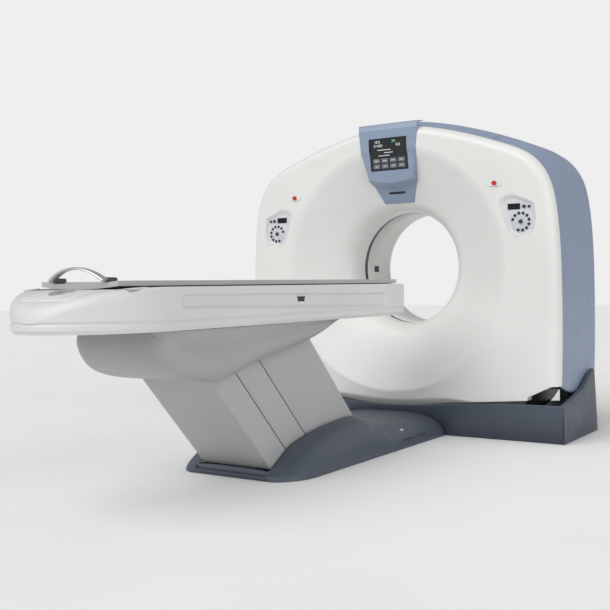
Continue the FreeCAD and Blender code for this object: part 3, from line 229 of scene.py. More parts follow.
# ------------------------------------------------------------------ materials
class Recipe:
    """A shader being put together: one principled surface and the nodes that feed it."""

    def __init__(self, name, rough=0.4, **constants):
        self.material = bpy.data.materials.new(name)
        self.material.use_nodes = True
        self.tree = self.material.node_tree
        self.surface = self.tree.nodes["Principled BSDF"]
        self.surface.inputs["Roughness"].default_value = rough
        for socket, value in constants.items():
            self.surface.inputs[socket.replace("_", " ")].default_value = value
        self.place = self.tree.nodes.new("ShaderNodeTexCoord").outputs["Object"]

    def noise(self, scale, detail=3.0, stretch=None):
        """Cloudy value in Object coordinates, cells per metre."""
        node = self.tree.nodes.new("ShaderNodeTexNoise")
        node.inputs["Scale"].default_value = scale
        node.inputs["Detail"].default_value = detail
        source = self.place
        if stretch:
            mapping = self.tree.nodes.new("ShaderNodeMapping")
            mapping.inputs["Scale"].default_value = stretch
            self.tree.links.new(source, mapping.inputs["Vector"])
            source = mapping.outputs["Vector"]
        self.tree.links.new(source, node.inputs["Vector"])
        return node.outputs["Fac"]

    def between(self, value, low, high, a=0.3, b=0.7):
        """Value mapped from a..b to low..high."""
        node = self.tree.nodes.new("ShaderNodeMapRange")
        node.inputs["From Min"].default_value = a
        node.inputs["From Max"].default_value = b
        node.inputs["To Min"].default_value = low
        node.inputs["To Max"].default_value = high
        self.tree.links.new(value, node.inputs["Value"])
        return node.outputs["Result"]

    def colours(self, value, first, second):
        """Two colours mixed by a value."""
        node = self.tree.nodes.new("ShaderNodeMix")
        node.data_type = "RGBA"
        node.inputs["A"].default_value = (*first, 1)
        node.inputs["B"].default_value = (*second, 1)
        self.tree.links.new(self.between(value, 0, 1), node.inputs["Factor"])
        self.tree.links.new(node.outputs["Result"], self.surface.inputs["Base Color"])

    def roughness(self, value, low, high):
        self.tree.links.new(self.between(value, low, high), self.surface.inputs["Roughness"])

    def bump(self, value, height, strength=0.4):
        node = self.tree.nodes.new("ShaderNodeBump")
        node.inputs["Distance"].default_value = height
        node.inputs["Strength"].default_value = strength
        self.tree.links.new(value, node.inputs["Height"])
        self.tree.links.new(node.outputs["Normal"], self.surface.inputs["Normal"])


def moulded(name, colour, rough=0.36, grain=900.0, depth=0.00012, tint=0.025, **constants):
    """Painted moulding: faint cloudy tone, fine stipple, slightly uneven gloss."""
    r = Recipe(name, rough, **constants)
    cloud = r.noise(2.6, 4.0)
    darker = tuple(c * (1 - tint) for c in colour)
    lighter = tuple(min(c * (1 + tint), 1) for c in colour)
    r.colours(cloud, darker, lighter)
    r.roughness(r.noise(14.0, 5.0), rough - 0.05, rough + 0.06)
    r.bump(r.noise(grain, 2.0), depth, 0.25)
    return r.material


def brushed(name, colour, rough=0.3, stretch=(1, 1, 40), metallic=1.0):
    """Metal with fine lines along one direction."""
    r = Recipe(name, rough, Metallic=metallic)
    lines = r.noise(60.0, 6.0, stretch)
    r.colours(lines, tuple(0.88 * c for c in colour), colour)
    r.roughness(lines, rough - 0.08, rough + 0.1)
    r.bump(lines, 0.00005, 0.2)
    return r.material


def rubbery(name, colour, rough=0.6):
    r = Recipe(name, rough)
    r.colours(r.noise(40.0, 4.0), tuple(0.85 * c for c in colour), colour)
    r.roughness(r.noise(30.0), rough - 0.08, rough + 0.08)
    r.bump(r.noise(2500.0, 2.0), 0.00005, 0.3)
    return r.material


def glossy(name, colour, rough=0.08, **constants):
    r = Recipe(name, rough, **constants)
    r.colours(r.noise(6.0), tuple(0.93 * c for c in colour), colour)
    r.roughness(r.noise(18.0, 5.0), rough, rough + 0.06)
    return r.material


def lit(name, colour, strength):
    r = Recipe(name, 0.3, Emission_Color=(*colour, 1), Emission_Strength=strength)
    r.colours(r.noise(50.0), tuple(0.9 * c for c in colour), colour)
    return r.material


FRONT_WHITE = moulded("front_white_moulding", (0.765, 0.765, 0.745), 0.34, Coat_Weight=0.15,
                      Coat_Roughness=0.2)
BLUE = moulded("side_blue_moulding", (0.235, 0.295, 0.405), 0.42)
HOUSING_BLUE = moulded("housing_blue_moulding", (0.26, 0.325, 0.44), 0.38)
SLATE = moulded("base_slate_moulding", (0.068, 0.085, 0.115), 0.42)
TABLE_WHITE = moulded("table_white_moulding", (0.66, 0.66, 0.65), 0.38)
FOOT_WHITE = moulded("foot_white_gloss", (0.80, 0.80, 0.79), 0.2, Coat_Weight=0.3, Coat_Roughness=0.1)
# grey moulding, darkened further as painted shade for the underside that faces down
BELLY_GREY_AND_SHADE = moulded("belly_grey_and_painted_shade", (0.365, 0.37, 0.375), 0.42)
# grey paint, darkened further as painted shade for the leaning leg's rear faces
LEG_GREY_AND_SHADE = moulded("leg_grey_paint_and_painted_shade", (0.42, 0.425, 0.43), 0.4, grain=700.0)
BOARD_GREY = moulded("board_grey_laminate", (0.50, 0.50, 0.505), 0.33, grain=1500.0)
DECK_DARK = moulded("deck_grey_plastic", (0.36, 0.365, 0.375), 0.45)
SILVER_TRAY = moulded("tray_silver_paint", (0.60, 0.61, 0.63), 0.35, Metallic=0.2)
PLATE_WHITE = moulded("plate_white", (0.78, 0.78, 0.76), 0.3)
# dark trim colour, also used for the dark sheets that paint shade into the corner notches
DARK_TRIM_AND_SHADE = moulded("dark_trim_and_painted_shade", (0.02, 0.021, 0.024), 0.4)
NAVY_KEY = rubbery("navy_key_rubber", (0.018, 0.026, 0.05), 0.45)
BLACK_RUBBER = rubbery("black_rubber", (0.012, 0.012, 0.012))
RED = glossy("red_button", (0.55, 0.02, 0.02), 0.25)
SCREEN_BLACK = glossy("screen_black", (0.006, 0.007, 0.009), 0.07)
WINDOW_FILM = glossy("window_film", (0.035, 0.036, 0.04), 0.18)
CHROME = glossy("chrome_handle", (0.78, 0.78, 0.79), 0.09, Metallic=1.0)
STEEL = brushed("shaft_steel", (0.62, 0.62, 0.63))
CAST = moulded("cast_frame_paint", (0.30, 0.31, 0.33), 0.5, grain=300.0, depth=0.0004)
ALLOY = brushed("turned_alloy", (0.68, 0.69, 0.7), 0.32, (30, 1, 30))
BRONZE = brushed("bush_bronze", (0.5, 0.36, 0.16), 0.35)
MOTOR = moulded("motor_paint", (0.10, 0.11, 0.125), 0.45, grain=500.0)
TRAY_PALE = moulded("tray_pale", (0.66, 0.67, 0.69), 0.33)
MAT_PALE = rubbery("keypad_pale_rubber", (0.62, 0.63, 0.68), 0.5)
RIM_RED = moulded("stop_rim_red", (0.72, 0.24, 0.24), 0.35)
CAP_GREY = moulded("cap_grey", (0.42, 0.43, 0.45), 0.28, Metallic=0.4)
DARK_STEEL = brushed("dark_steel", (0.16, 0.16, 0.17), 0.3)
WIPER = rubbery("wiper_grey", (0.13, 0.13, 0.135), 0.55)
MARK_WHITE = lit("mark_white", (0.62, 0.66, 0.70), 0.35)
MARK_GREEN = lit("mark_green", (0.16, 0.60, 0.24), 0.4)
MARK_GREY = lit("mark_grey", (0.16, 0.17, 0.18), 0.12)

KEPT = {
    "gantry_base_frame": CAST, "tilt_bushes": BRONZE, "tilt_gearmotor": MOTOR, "table_base_frame": MOTOR,
    "base_pivots": STEEL, "tilt_frame": CAST, "bearing_outer_ring": STEEL, "display_screen": SCREEN_BLACK,
    "scan_window_ring": WINDOW_FILM, "light_windows": DARK_TRIM_AND_SHADE, "drive_motor": MOTOR,
    "drive_belt": BLACK_RUBBER, "brush_block": MOTOR, "right_control_panel": SILVER_TRAY,
    "left_control_panel": SILVER_TRAY, "keypads": NAVY_KEY, "panel_readouts": SCREEN_BLACK,
    "stop_plates": PLATE_WHITE, "rotor_drum": ALLOY, "bearing_inner_ring": STEEL, "xray_tube": ALLOY,
    "collimator": CAST, "detector": MOTOR, "hv_generator": MOTOR, "power_unit": MOTOR,
    "heat_exchanger": ALLOY, "slip_ring": BRONZE, "motor_pulley": STEEL, "lift_arm_front": CAST,
    "lift_arm_rear": CAST, "leg_cover_rear": LEG_GREY_AND_SHADE, "leg_cover_middle": LEG_GREY_AND_SHADE,
    "leg_cover_front": LEG_GREY_AND_SHADE, "actuator_barrel": MOTOR, "actuator_rod": STEEL, "table_frame": CAST,
    "table_deck": DECK_DARK, "cradle": BOARD_GREY,
}
for side in ("right", "left"):
    KEPT[side + "_start_button"] = NAVY_KEY
    KEPT[side + "_stop_button"] = NAVY_KEY
    KEPT[side + "_center_button"] = NAVY_KEY
    KEPT[side + "_emergency_stop"] = RED
for node, material in KEPT.items():
    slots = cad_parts[node].material_slots
    for slot in slots:
        slot.material = material


# ------------------------------------------------------------------ gantry covers
def crown_half(count=400):
    """Right half of the crown's outline from the top down, in X and Z."""
    both = np.vstack([CROWN[:0:-1] * (-1, 1), CROWN])
    full = spline(both, 2 * count + 1)
    return full[count:]


HALF = crown_half()
HALF_N = normals_of(HALF)


def mirrored_loop(half):
    """Closed loop from a right half that starts at the top and ends at the bottom centre."""
    return np.vstack([half, half[-2:0:-1] * (-1, 1)])


CONE_TURN = math.radians(65)
CONE_R = BORE + LIP - LIP * math.cos(CONE_TURN)
CONE_Y = -0.06 - LIP * math.sin(CONE_TURN)
MOUTH_R = 0.735            # where the front cover's rows leave the funnel for the outline
RIM_PROUD = 0.012          # how far the funnel's lower rim stands in front of the face
BOTTOM = np.array([(0.865, 0.232), (0.700, 0.219), (0.500, 0.203), (0.340, 0.187), (0.150, 0.164),
                   (0, 0.157)])
BOTTOM_HALF = spline(np.vstack([BOTTOM, BOTTOM[-2::-1] * (-1, 1)]), 161)[:81]
BOTTOM_LINE = np.vstack([BOTTOM_HALF, BOTTOM_HALF[-2:-20:-1] * (-1, 1)])
LIP_DEEP = 0.040           # height of the chamfer along the lower lip
CROWN_LINE = np.vstack([HALF, [(1.040, 0.0)]])


def distance_to(points, line):
    """Shortest distance in the plane from each point to a polyline."""
    a, step = line[:-1], np.diff(line, axis=0)
    gap = points[..., None, :] - a
    t = np.clip((gap * step).sum(-1) / (step * step).sum(-1), 0, 1)
    return np.linalg.norm(gap - t[..., None] * step, axis=-1).min(-1)


def funnel_y(r):
    """Lip turning out of the throat along an arc, then a cone."""
    arc = -0.06 - LIP * np.sin(np.arccos(np.clip((BORE + LIP - r) / LIP, -1, 1)))
    return np.where(r < CONE_R, arc, CONE_Y - (r - CONE_R) / math.tan(CONE_TURN))


def cover_y(x, z):
    """Front surface over X and Z: funnel, flat face with a band that rises to the funnel's lower
    rim, the round outer edge, and the chamfer of the lower lip."""
    x, z = np.broadcast_arrays(np.asarray(x, float), np.asarray(z, float))
    r = np.hypot(x, z - ISO)
    low = ramp((ISO - z) / np.maximum(r, 0.01), -0.15, 0.65)
    face = FACE_Y - RIM_PROUD * low * (1 - np.clip((r - MOUTH_R) / (BAND_R - MOUTH_R), 0, 1))
    y = smooth_max(funnel_y(r), face, 0.004)
    d = distance_to(np.stack([np.abs(x), z], -1), CROWN_LINE[::4])
    t = np.clip(d / EDGE, 0, 1)
    rim = SPLIT_Y + (FACE_Y - 0.004 - SPLIT_Y) * np.sqrt(1 - (1 - t) ** 2)
    y = np.where(d < EDGE, smooth_max(y, rim, 0.006), y)
    under = distance_to(np.stack([np.abs(x), z], -1), BOTTOM_LINE[::4])
    lip = FACE_Y - 0.006 + 0.8 * (LIP_DEEP * ramp(0.62 - np.abs(x), 0, 0.30) - under)
    return np.where(z < 0.300, smooth_max(y, lip, 0.005), y)


def front_cover():
    """Columns run out from the bore to the outline: crown, stepped lower corners and the
    sagging lower lip. Rows crowd towards the outline."""
    crown = resample(HALF[HALF[:, 1] > NOTCH_TOP], 120)
    corner = np.vstack([np.linspace(a, b, n, endpoint=False) for a, b, n in (
        ((1.040, NOTCH_TOP), (1.000, NOTCH_TOP), 4), ((1.000, NOTCH_TOP), (0.865, 0.250), 14),
        ((0.865, 0.250), BOTTOM[0], 3))])
    loop = mirrored_loop(np.vstack([crown, corner, BOTTOM_HALF]))
    angle = np.arctan2(loop[:, 1] - ISO, loop[:, 0])
    ring = np.stack([np.cos(angle), np.sin(angle)], axis=1)
    rows = [xyz(BORE * ring[:, 0], y, ISO + BORE * ring[:, 1]) for y in (-0.0185, -0.04)]
    turn = np.linspace(0, CONE_TURN, 15)
    radii = np.concatenate([BORE + LIP - LIP * np.cos(turn), np.linspace(CONE_R, MOUTH_R, 11)[1:]])
    flat = [ring * r + (0, ISO) for r in radii]
    u = 1 - (1 - np.linspace(0, 1, 31)[1:]) ** 1.8
    flat += [(ring * MOUTH_R + (0, ISO)) * (1 - g) + loop * g for g in u]
    flat = np.stack(flat)
    surface = cover_y(flat[..., 0], flat[..., 1])
    surface[0] = -0.06
    rows += list(xyz(flat[..., 0], surface, flat[..., 1]))
    inner = 1 - 0.004 / np.hypot(loop[:, 0], loop[:, 1] - ISO)
    rows.append(xyz(loop[:, 0], SPLIT_Y, loop[:, 1]))
    rows.append(xyz(loop[:, 0] * inner, SPLIT_Y + 0.0002, ISO + (loop[:, 1] - ISO) * inner))
    shell = piece("front_cover_shell", np.stack(rows), "gantry", FRONT_WHITE, (0, 3, ISO), wrap=True,
                  wall=COVER_WALL, angle=32)
    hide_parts("front_cover")
    cutters = []
    for s in (-1, 1):
        for outline in (grown(PANEL, 0.0006), stop_outline(0.0006)):
            cutters.append(prism([(s * x, z) for x, z in outline], FACE_Y - 0.02, FACE_Y + 0.03))
    cutters.append(prism([(-0.134, 1.586), (0.134, 1.586), (0.134, 1.790), (-0.134, 1.790)], -0.36, -0.25))
    cut(shell, cutters, 32)


def rounded(corners, radius, steps=7):
    """Polygon with an arc of the given radius at each corner."""
    out = []
    corners = [np.array(c, float) for c in corners]
    for i, c in enumerate(corners):
        before = corners[i - 1] - c
        after = corners[(i + 1) % len(corners)] - c
        before /= np.linalg.norm(before)
        after /= np.linalg.norm(after)
        half = math.acos(np.clip(before @ after, -1, 1)) / 2
        start, end = c + before * radius / math.tan(half), c + after * radius / math.tan(half)
        middle = c + (before + after) / np.linalg.norm(before + after) * radius / math.sin(half)
        a, b = start - middle, end - middle
        total = math.atan2(a[0] * b[1] - a[1] * b[0], a @ b)
        for k in range(steps + 1):
            t = total * k / steps
            turned = (a[0] * math.cos(t) - a[1] * math.sin(t), a[0] * math.sin(t) + a[1] * math.cos(t))
            out.append((middle[0] + turned[0], middle[1] + turned[1]))
    return out


PANEL = rounded([(0.706, 1.378), (0.790, 1.398), (0.915, 1.342), (0.925, 1.255), (0.908, 1.180),
                 (0.808, 1.150), (0.758, 1.200)], 0.027)
STOP_AT = (0.684, 1.462)


def grown(outline, by):
    """Outline pushed out from its middle."""
    line = np.array(outline)
    middle = line.mean(axis=0)
    away = line - middle
    return (line + by * away / np.linalg.norm(away, axis=1)[:, None]).tolist()


def stop_outline(by=0.0, half_w=0.042, half_h=0.018):
    """Oval with straight sides round the emergency stop."""
    points = []
    for k in range(32):
        a = 2 * math.pi * (k + 0.5) / 32
        side = math.copysign(half_w - half_h, math.cos(a))
        points.append((STOP_AT[0] + side + (half_h + by) * math.cos(a),
                       STOP_AT[1] + (half_h + by) * math.sin(a)))
    return points


def wrap_section(y, rear, first, last, count):
    """Stretch of the crown at one Y: raised where it faces up, drawn in towards the rear edge."""
    lift = 0.046 * ramp(y, SPLIT_Y - 0.012, -0.085) - 0.014 * ramp(y, 0.2, REAR_Y)
    inset = 0.076 * (1 - math.cos(rear))
    line = HALF + HALF_N * (lift * np.clip(HALF_N[:, 1:], 0, 1) - inset)
    low = ISO - math.sqrt(SKIRT_R ** 2 - y ** 2)
    line = np.vstack([line[line[:, 1] > low + 0.002], [np.interp(low, line[::-1, 1], line[::-1, 0]), low]])
    s = np.r_[0, np.cumsum(np.linalg.norm(np.diff(line, axis=0), axis=1))]
    # X grows down the line as far as the widest point, which lies below the split
    split = np.interp(COVER_SPLIT_X - 0.3 * inset, line[:, 0], s)
    ends = {"top": 0.0, "split": split, "skirt": s[-1]}
    a, b = ends[first], ends[last]
    if first == "split":
        a += GAP / 2
    if last == "split":
        b -= GAP / 2
    at = np.linspace(a, b, count)
    return np.interp(at, s, line[:, 0]), np.interp(at, s, line[:, 1])


def wrap_covers():
    """Rows of the crown from the seam with the front cover back to the rounded rear edge."""
    stations = [(y, 0.0) for y in np.linspace(SPLIT_Y + GAP, 0.325, 34)]
    stations += [(0.325 + 0.105 * math.sin(t), t) for t in np.radians(np.linspace(0, 90, 13))[1:]]
    top, side = [], []
    for y, rear in stations:
        x, z = wrap_section(y, rear, "top", "split", 60)
        row = np.vstack([xyz(-x[::-1], y, z[::-1])[:-1], xyz(x, y, z)])
        top.append(row)
        x, z = wrap_section(y, rear, "split", "skirt", 110)
        side.append(xyz(x, y, z))
    first = np.array(top[0]) - (0, 0, 0.012)
    top.insert(0, first)
    shell = piece("top_cover_shell", np.array(top), "gantry", BLUE, (0, 0.1, ISO), wall=COVER_WALL)
    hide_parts("top_cover")
    rows = np.array(side)
    rows = np.concatenate([[rows[0] + (-0.010, 0, -0.004)], rows])
    for s, name in ((1, "right"), (-1, "left")):
        shell = piece(name + "_side_cover_shell", rows * (s, 1, 1), "gantry", BLUE, (0, 0.1, ISO),
                      wall=COVER_WALL)
        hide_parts(name + "_side_cover")


def rear_cover():
    """Polar grid about the bore: straight throat, round lip, short flare, flat plate with a soft edge."""
    inset = 0.0835
    line = HALF + HALF_N * (0.0288 * np.clip(HALF_N[:, 1:], 0, 1) - inset)
    line = line[line[:, 1] > 0.600]
    low = ISO - math.sqrt(SKIRT_R ** 2 - REAR_Y ** 2) + 0.002
    loop = mirrored_loop(np.vstack([line, [(0.868, 0.600), (0.868, low), (0, low)]]))
    loop = soften(resample(loop, 400, closed=True), 0.008)
    angle = np.arctan2(loop[:, 1] - ISO, loop[:, 0])
    out_r = np.hypot(loop[:, 0], loop[:, 1] - ISO)
    turn = np.radians(np.linspace(0, 45, 12))
    profile = [(BORE, 0.0185), (BORE, 0.15), (BORE, 0.28)]
    profile += list(zip(BORE + LIP - LIP * np.cos(turn), 0.29 + LIP * np.sin(turn)))
    profile += [(0.4235, 0.4262), (0.428, 0.4288), (0.434, REAR_Y)]
    rows = [xyz(r * np.cos(angle), y, ISO + r * np.sin(angle)) for r, y in profile]
    for f in np.linspace(0, 1, 24)[1:]:
        r = 0.434 + (out_r - 0.006 - 0.434) * f
        rows.append(xyz(r * np.cos(angle), REAR_Y, ISO + r * np.sin(angle)))
    for t in np.radians((30, 60, 90)):
        r = out_r - 0.006 * (1 - math.sin(t))
        rows.append(xyz(r * np.cos(angle), REAR_Y - 0.006 * (1 - math.cos(t)), ISO + r * np.sin(angle)))
    rows.append(xyz(out_r * np.cos(angle), REAR_Y - 0.035, ISO + out_r * np.sin(angle)))
    shell = piece("rear_cover_shell", np.stack(rows), "gantry", FRONT_WHITE, (0, -3, ISO), wrap=True,
                  wall=COVER_WALL)
    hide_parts("rear_cover")


# ------------------------------------------------------------------ display
HOUSING = np.array([(1.872, 0.204, -0.326), (1.860, 0.203, -0.337), (1.838, 0.201, -0.3445),
                    (1.785, 0.198, -0.3395), (1.700, 0.192, -0.328), (1.605, 0.170, -0.316),
                    (1.545, 0.158, -0.305), (1.515, 0.153, -0.299), (1.500, 0.147, -0.272),
                    (1.484, 0.140, -0.236), (1.462, 0.130, -0.200), (1.430, 0.117, -0.150),
                    (1.398, 0.104, -0.100)])      # height, half width, front
CHIN = 0.022               # how much higher the chin starts at the sides
PROUD = 0.008              # lower facet over the funnel


def housing_front(x, z):
    """Front of the housing: leaning face and chin, or a skin over the funnel where that is further out."""
    at = z - CHIN * (x / 0.15) ** 2 * ramp(1.64 - z, 0, 0.08)
    flat = np.interp(-at, -HOUSING[:, 0], HOUSING[:, 2])
    skin = np.maximum(funnel_y(np.hypot(x, z - ISO)), FACE_Y + 0.003) - PROUD
    return -smooth_max(-flat, -skin, 0.006)


def display_housing():
    """Rows at falling heights: face between two rounded corners, side walls back into the
    front cover, and a lid back to the top cover."""
    knots = HOUSING[:, 0]
    z = np.concatenate([np.linspace(a, b, 8)[:-1] for a, b in zip(knots[:-1], knots[1:])] + [[knots[-1]]])
    half = np.interp(-z, -knots, HOUSING[:, 1])
    for _ in range(3):
        half[1:-1] = (half[:-2] + 2 * half[1:-1] + half[2:]) / 4
    radius = 0.014
    turn = np.radians(np.linspace(90, 0, 8))
    across = np.linspace(1, -1, 41)
    corner_x = radius * np.sin(turn)
    corner_y = radius * (1 - np.cos(turn))
    rows = []
    for height, w in zip(z, half):
        flat_x = across * (w - radius)
        x = np.r_[w, w - radius + corner_x, flat_x, radius - w - corner_x[::-1], -w]
        edge = float(housing_front(w - radius, height))
        back = max(float(cover_y(w, height)) + 0.006, edge + radius)
        y = np.r_[back, edge + corner_y, housing_front(flat_x, height), edge + corner_y[::-1], back]
        rows.append(xyz(x, y, height))
    lid = [rows[0] * (1, 0, 0) + (0, y, height) for y, height in ((SPLIT_Y, 1.880), (-0.300, 1.8765))]
    foot = rows[-1] * (1, 0, 1) + (0, 1, 0) * (rows[-1][:, 1:2] + 0.014)
    shell = piece("display_housing_shell", np.array(lid + rows + [foot]), "gantry", HOUSING_BLUE,
                  (0, 0.3, 1.65), wall=0.003, angle=28)
    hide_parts("display_housing")
    glass = rounded([(-0.1295, 1.5905), (0.1295, 1.5905), (0.1295, 1.7855), (-0.1295, 1.7855)], 0.006)
    slot = rounded([(-0.056, 1.454), (0.056, 1.454), (0.056, 1.468), (-0.056, 1.468)], 0.005)
    cut(shell, [prism(glass, -0.4, -0.27), prism(slot, -0.4, -0.1)], 28)
    x, height = np.meshgrid(np.linspace(-0.06, 0.06, 13), np.linspace(1.450, 1.472, 5))
    y = funnel_y(np.hypot(x, height - ISO)) - 0.0025
    piece("housing_slot_liner", xyz(x, y, height), "gantry", DARK_TRIM_AND_SHADE, (0, 0.3, 1.46))


def front_edge(node, upper):
    """Foremost corner of the upper or lower half of a node."""
    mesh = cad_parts[node].data
    points = np.empty(len(mesh.vertices) * 3)
    mesh.vertices.foreach_get("co", points)
    points = points.reshape(-1, 3)
    middle = points[:, 2].mean()
    points = points[points[:, 2] > middle] if upper else points[points[:, 2] < middle]
    return points[points[:, 1].argmin()]


GLASS_LOW = front_edge("display_screen", False)
GLASS_HIGH = front_edge("display_screen", True)


def screen_y(z):
    """Front of the screen's glass, from its own corners."""
    lean = (GLASS_HIGH[1] - GLASS_LOW[1]) / (GLASS_HIGH[2] - GLASS_LOW[2])
    return GLASS_LOW[1] + lean * (z - GLASS_LOW[2])


def patch(cx, cz, half_w, half_h, proud, radius=0.0):
    """Thin raised mark on the leaning glass: an outline and its copy moved forwards."""
    outline = [(cx + i * half_w, cz + k * half_h) for i, k in ((-1, -1), (1, -1), (1, 1), (-1, 1))]
    if radius:
        outline = rounded(outline, radius, 4)
    n = len(outline)
    front = [(x, screen_y(z) - proud, z) for x, z in outline]
    back = [(x, screen_y(z), z) for x, z in outline]
    faces = [tuple(range(n))] + [(i, n + i, n + (i + 1) % n, (i + 1) % n) for i in range(n)]
    return front + back, faces


def marks(name, pieces, material):
    """Several thin marks in one piece."""
    points, faces = [], []
    for p, f in pieces:
        start = len(points)
        points += p
        faces += [tuple(i + start for i in face) for face in f]
    return add(name, points, faces, "gantry", material)


def screen_marks():
    """Digits as seven-bar figures, short lines and soft keys: no words."""
    bars = {"0": "abcdef", "1": "bc", "2": "abged", "3": "abgcd", "4": "fgbc", "5": "afgcd"}
    lift = 0.0006

    def figure(ch, x, z, w, h, t):
        spots = {"a": (0, h, w, t), "g": (0, 0, w, t), "d": (0, -h, w, t), "f": (-w, h / 2, t, h / 2),
                 "b": (w, h / 2, t, h / 2), "e": (-w, -h / 2, t, h / 2), "c": (w, -h / 2, t, h / 2)}
        return [patch(x + dx, z + dz, half_w, half_h, lift) for dx, dz, half_w, half_h in
                (spots[b] for b in bars[ch])]

    white, green, grey = [], [], []
    for word, x, z, store in (("120", -0.092, 1.765, white), ("2400", -0.092, 1.742, white),
                              ("00", 0.060, 1.742, white), ("35", 0.030, 1.765, green)):
        for i, ch in enumerate(word):
            store += figure(ch, x + 0.0155 * i, z, 0.0042, 0.0062, 0.0011)
    for i, half in enumerate((0.046, 0.03, 0.038)):
        white.append(patch(-0.03 + 0.03 * (i % 2), 1.716 - 0.017 * i, half, 0.0018, lift))
    for i in range(4):
        for z, half in ((1.652, 0.011), (1.618, 0.008)):
            grey.append(patch(-0.086 + 0.057 * i, z, 0.0225, 0.0125, lift, radius=0.003))
            white.append(patch(-0.086 + 0.057 * i, z, half, 0.0016, lift + 0.0004))
    marks("screen_white_marks", white, MARK_WHITE)
    marks("screen_green_marks", green, MARK_GREEN)
    marks("screen_soft_keys", grey, MARK_GREY)


# ------------------------------------------------------------------ control panels
PANEL_FLOOR = rounded([(0.738, 1.353), (0.795, 1.366), (0.897, 1.330), (0.908, 1.254), (0.893, 1.190),
                       (0.811, 1.166), (0.776, 1.204)], 0.019)
PANEL_DEEP = 0.009
KEY_AT = (0.835, 1.237)
KEY_RING_R = 0.049
KEY_R = 0.009
KEY_ANGLES = np.radians(164.0 - 30.3 * np.arange(10))


def from_angle(outline, count):
    """Closed outline resampled from the point straight above its middle."""
    line = np.array(outline)
    middle = line.mean(axis=0)
    turn = np.arctan2(line[:, 0] - middle[0], line[:, 1] - middle[1])
    line = np.roll(line, -np.abs(turn).argmin(), axis=0)
    return resample(line, count, closed=True)


def lathe(profile, middle, count=24):
    """Profile of radius and Y turned about an axis along Y through a point of X and Z."""
    turn = np.linspace(0, 2 * math.pi, count, endpoint=False)
    r, y = np.asarray(profile, float).T
    return xyz(middle[0] + r[:, None] * np.cos(turn), y[:, None], middle[1] + r[:, None] * np.sin(turn))


def control_panels():
    """Trays: outline blended to the smaller floor outline while the depth follows a smooth step.
    Keys: domes on a ring, their radii and depths turned about each key's own axis."""
    outer, floor = from_angle(PANEL, 140), from_angle(PANEL_FLOOR, 140)
    middle = floor.mean(axis=0)
    deep = FACE_Y + PANEL_DEEP
    rows = [xyz(outer[:, 0], FACE_Y + 0.014, outer[:, 1]), xyz(outer[:, 0], FACE_Y + 0.001, outer[:, 1])]
    for t in np.linspace(0, 1, 12):
        at = outer + (floor - outer) * (0.06 + 0.94 * t)
        rows.append(xyz(at[:, 0], FACE_Y + (PANEL_DEEP - 0.0004) * ramp(t, 0.05, 1), at[:, 1]))
    for t in np.linspace(0, 1, 8)[1:]:
        at = floor + (middle - floor) * t
        rows.append(xyz(at[:, 0], deep, at[:, 1]))
    tray = np.stack(rows)
    mat = lathe([(0.0125, deep), (0.0125, deep - 0.0018), (0.014, deep - 0.002), (0.059, deep - 0.002),
                 (0.0605, deep - 0.0014), (0.0605, deep)], KEY_AT, 72)
    keys = []
    for angle in KEY_ANGLES:
        at = (KEY_AT[0] + KEY_RING_R * math.cos(angle), KEY_AT[1] + KEY_RING_R * math.sin(angle))
        keys.append(lathe([(0.0001, deep - 0.0052), (0.005, deep - 0.0051), (0.0078, deep - 0.0045),
                           (KEY_R, deep - 0.003), (KEY_R, deep)], at))
    for s, side in ((1, "right"), (-1, "left")):
        flip = np.array((s, 1, 1))
        panel = piece(side + "_control_panel_tray", tray * flip, "gantry", TRAY_PALE,
                      (s * middle[0], 0, middle[1]), wrap=True)
        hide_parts(side + "_control_panel")
        ring = piece(side + "_keypad_mat", mat * flip, "gantry", MAT_PALE,
                     (s * KEY_AT[0], 0, KEY_AT[1]), wrap=True)
        dots = piece(side + "_keypad_keys", [k * flip for k in keys], "gantry", NAVY_KEY,
                     [k.mean(axis=(0, 1)) * flip for k in keys], wrap=True)
        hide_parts("keypads")
        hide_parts("keypads")
        rim = np.array([(s * x, z) for x, z in stop_outline(-0.0012)])
        rim = resample(rim, 80, closed=True)
        away = normals_of(rim, closed=True)
        around = np.linspace(0, 2 * math.pi, 9)[:-1]
        bead = [xyz(rim[:, 0] + 0.0011 * math.cos(c) * away[:, 0], FACE_Y - 0.0004 - 0.0009 * math.sin(c),
                    rim[:, 1] + 0.0011 * math.cos(c) * away[:, 1]) for c in np.r_[around, 0]]
        piece(side + "_stop_rim", np.stack(bead), "gantry", RIM_RED, wrap=True)


def painted_shade_sheets():
    """Painted shade at the stepped lower corners: dark sheets that stand for the shaded interior
    behind the notches, two inside the covers, of which the lengthwise one ends on an arc about the
    tilt axis, and an upright strip on the base that stops short of what the tilting corners sweep."""
    x, z = np.meshgrid(np.linspace(0.845, 1.032, 9), np.linspace(0.292, 0.335, 5))
    wall = xyz(x, -0.205, z)
    y, share = np.meshgrid(np.linspace(-0.225, 0.365, 40), np.linspace(0, 1, 7))
    low = ISO - np.sqrt(0.851 ** 2 - y ** 2)
    long_wall = xyz(0.817, y, low + (0.335 - low) * share)
    x, z = np.meshgrid(np.linspace(0.868, 1.050, 9), np.linspace(0.165, 0.283, 7))
    strip = xyz(x, 0.214, z)
    for s, side in ((1, "right"), (-1, "left")):
        # painted shade: these dark sheets stand for the shaded interior behind each notch
        piece(side + "_notch_shade_sheet", wall * (s, 1, 1), "gantry", DARK_TRIM_AND_SHADE, (0, 1, 0.3), wall=0.002)
        piece(side + "_inner_shade_sheet", long_wall * (s, 1, 1), "gantry", DARK_TRIM_AND_SHADE, (0, 0, 0.3), wall=0.002)
        piece(side + "_base_shade_strip", strip * (s, 1, 1), "root", DARK_TRIM_AND_SHADE, (0, 1, 0.2), wall=0.002)


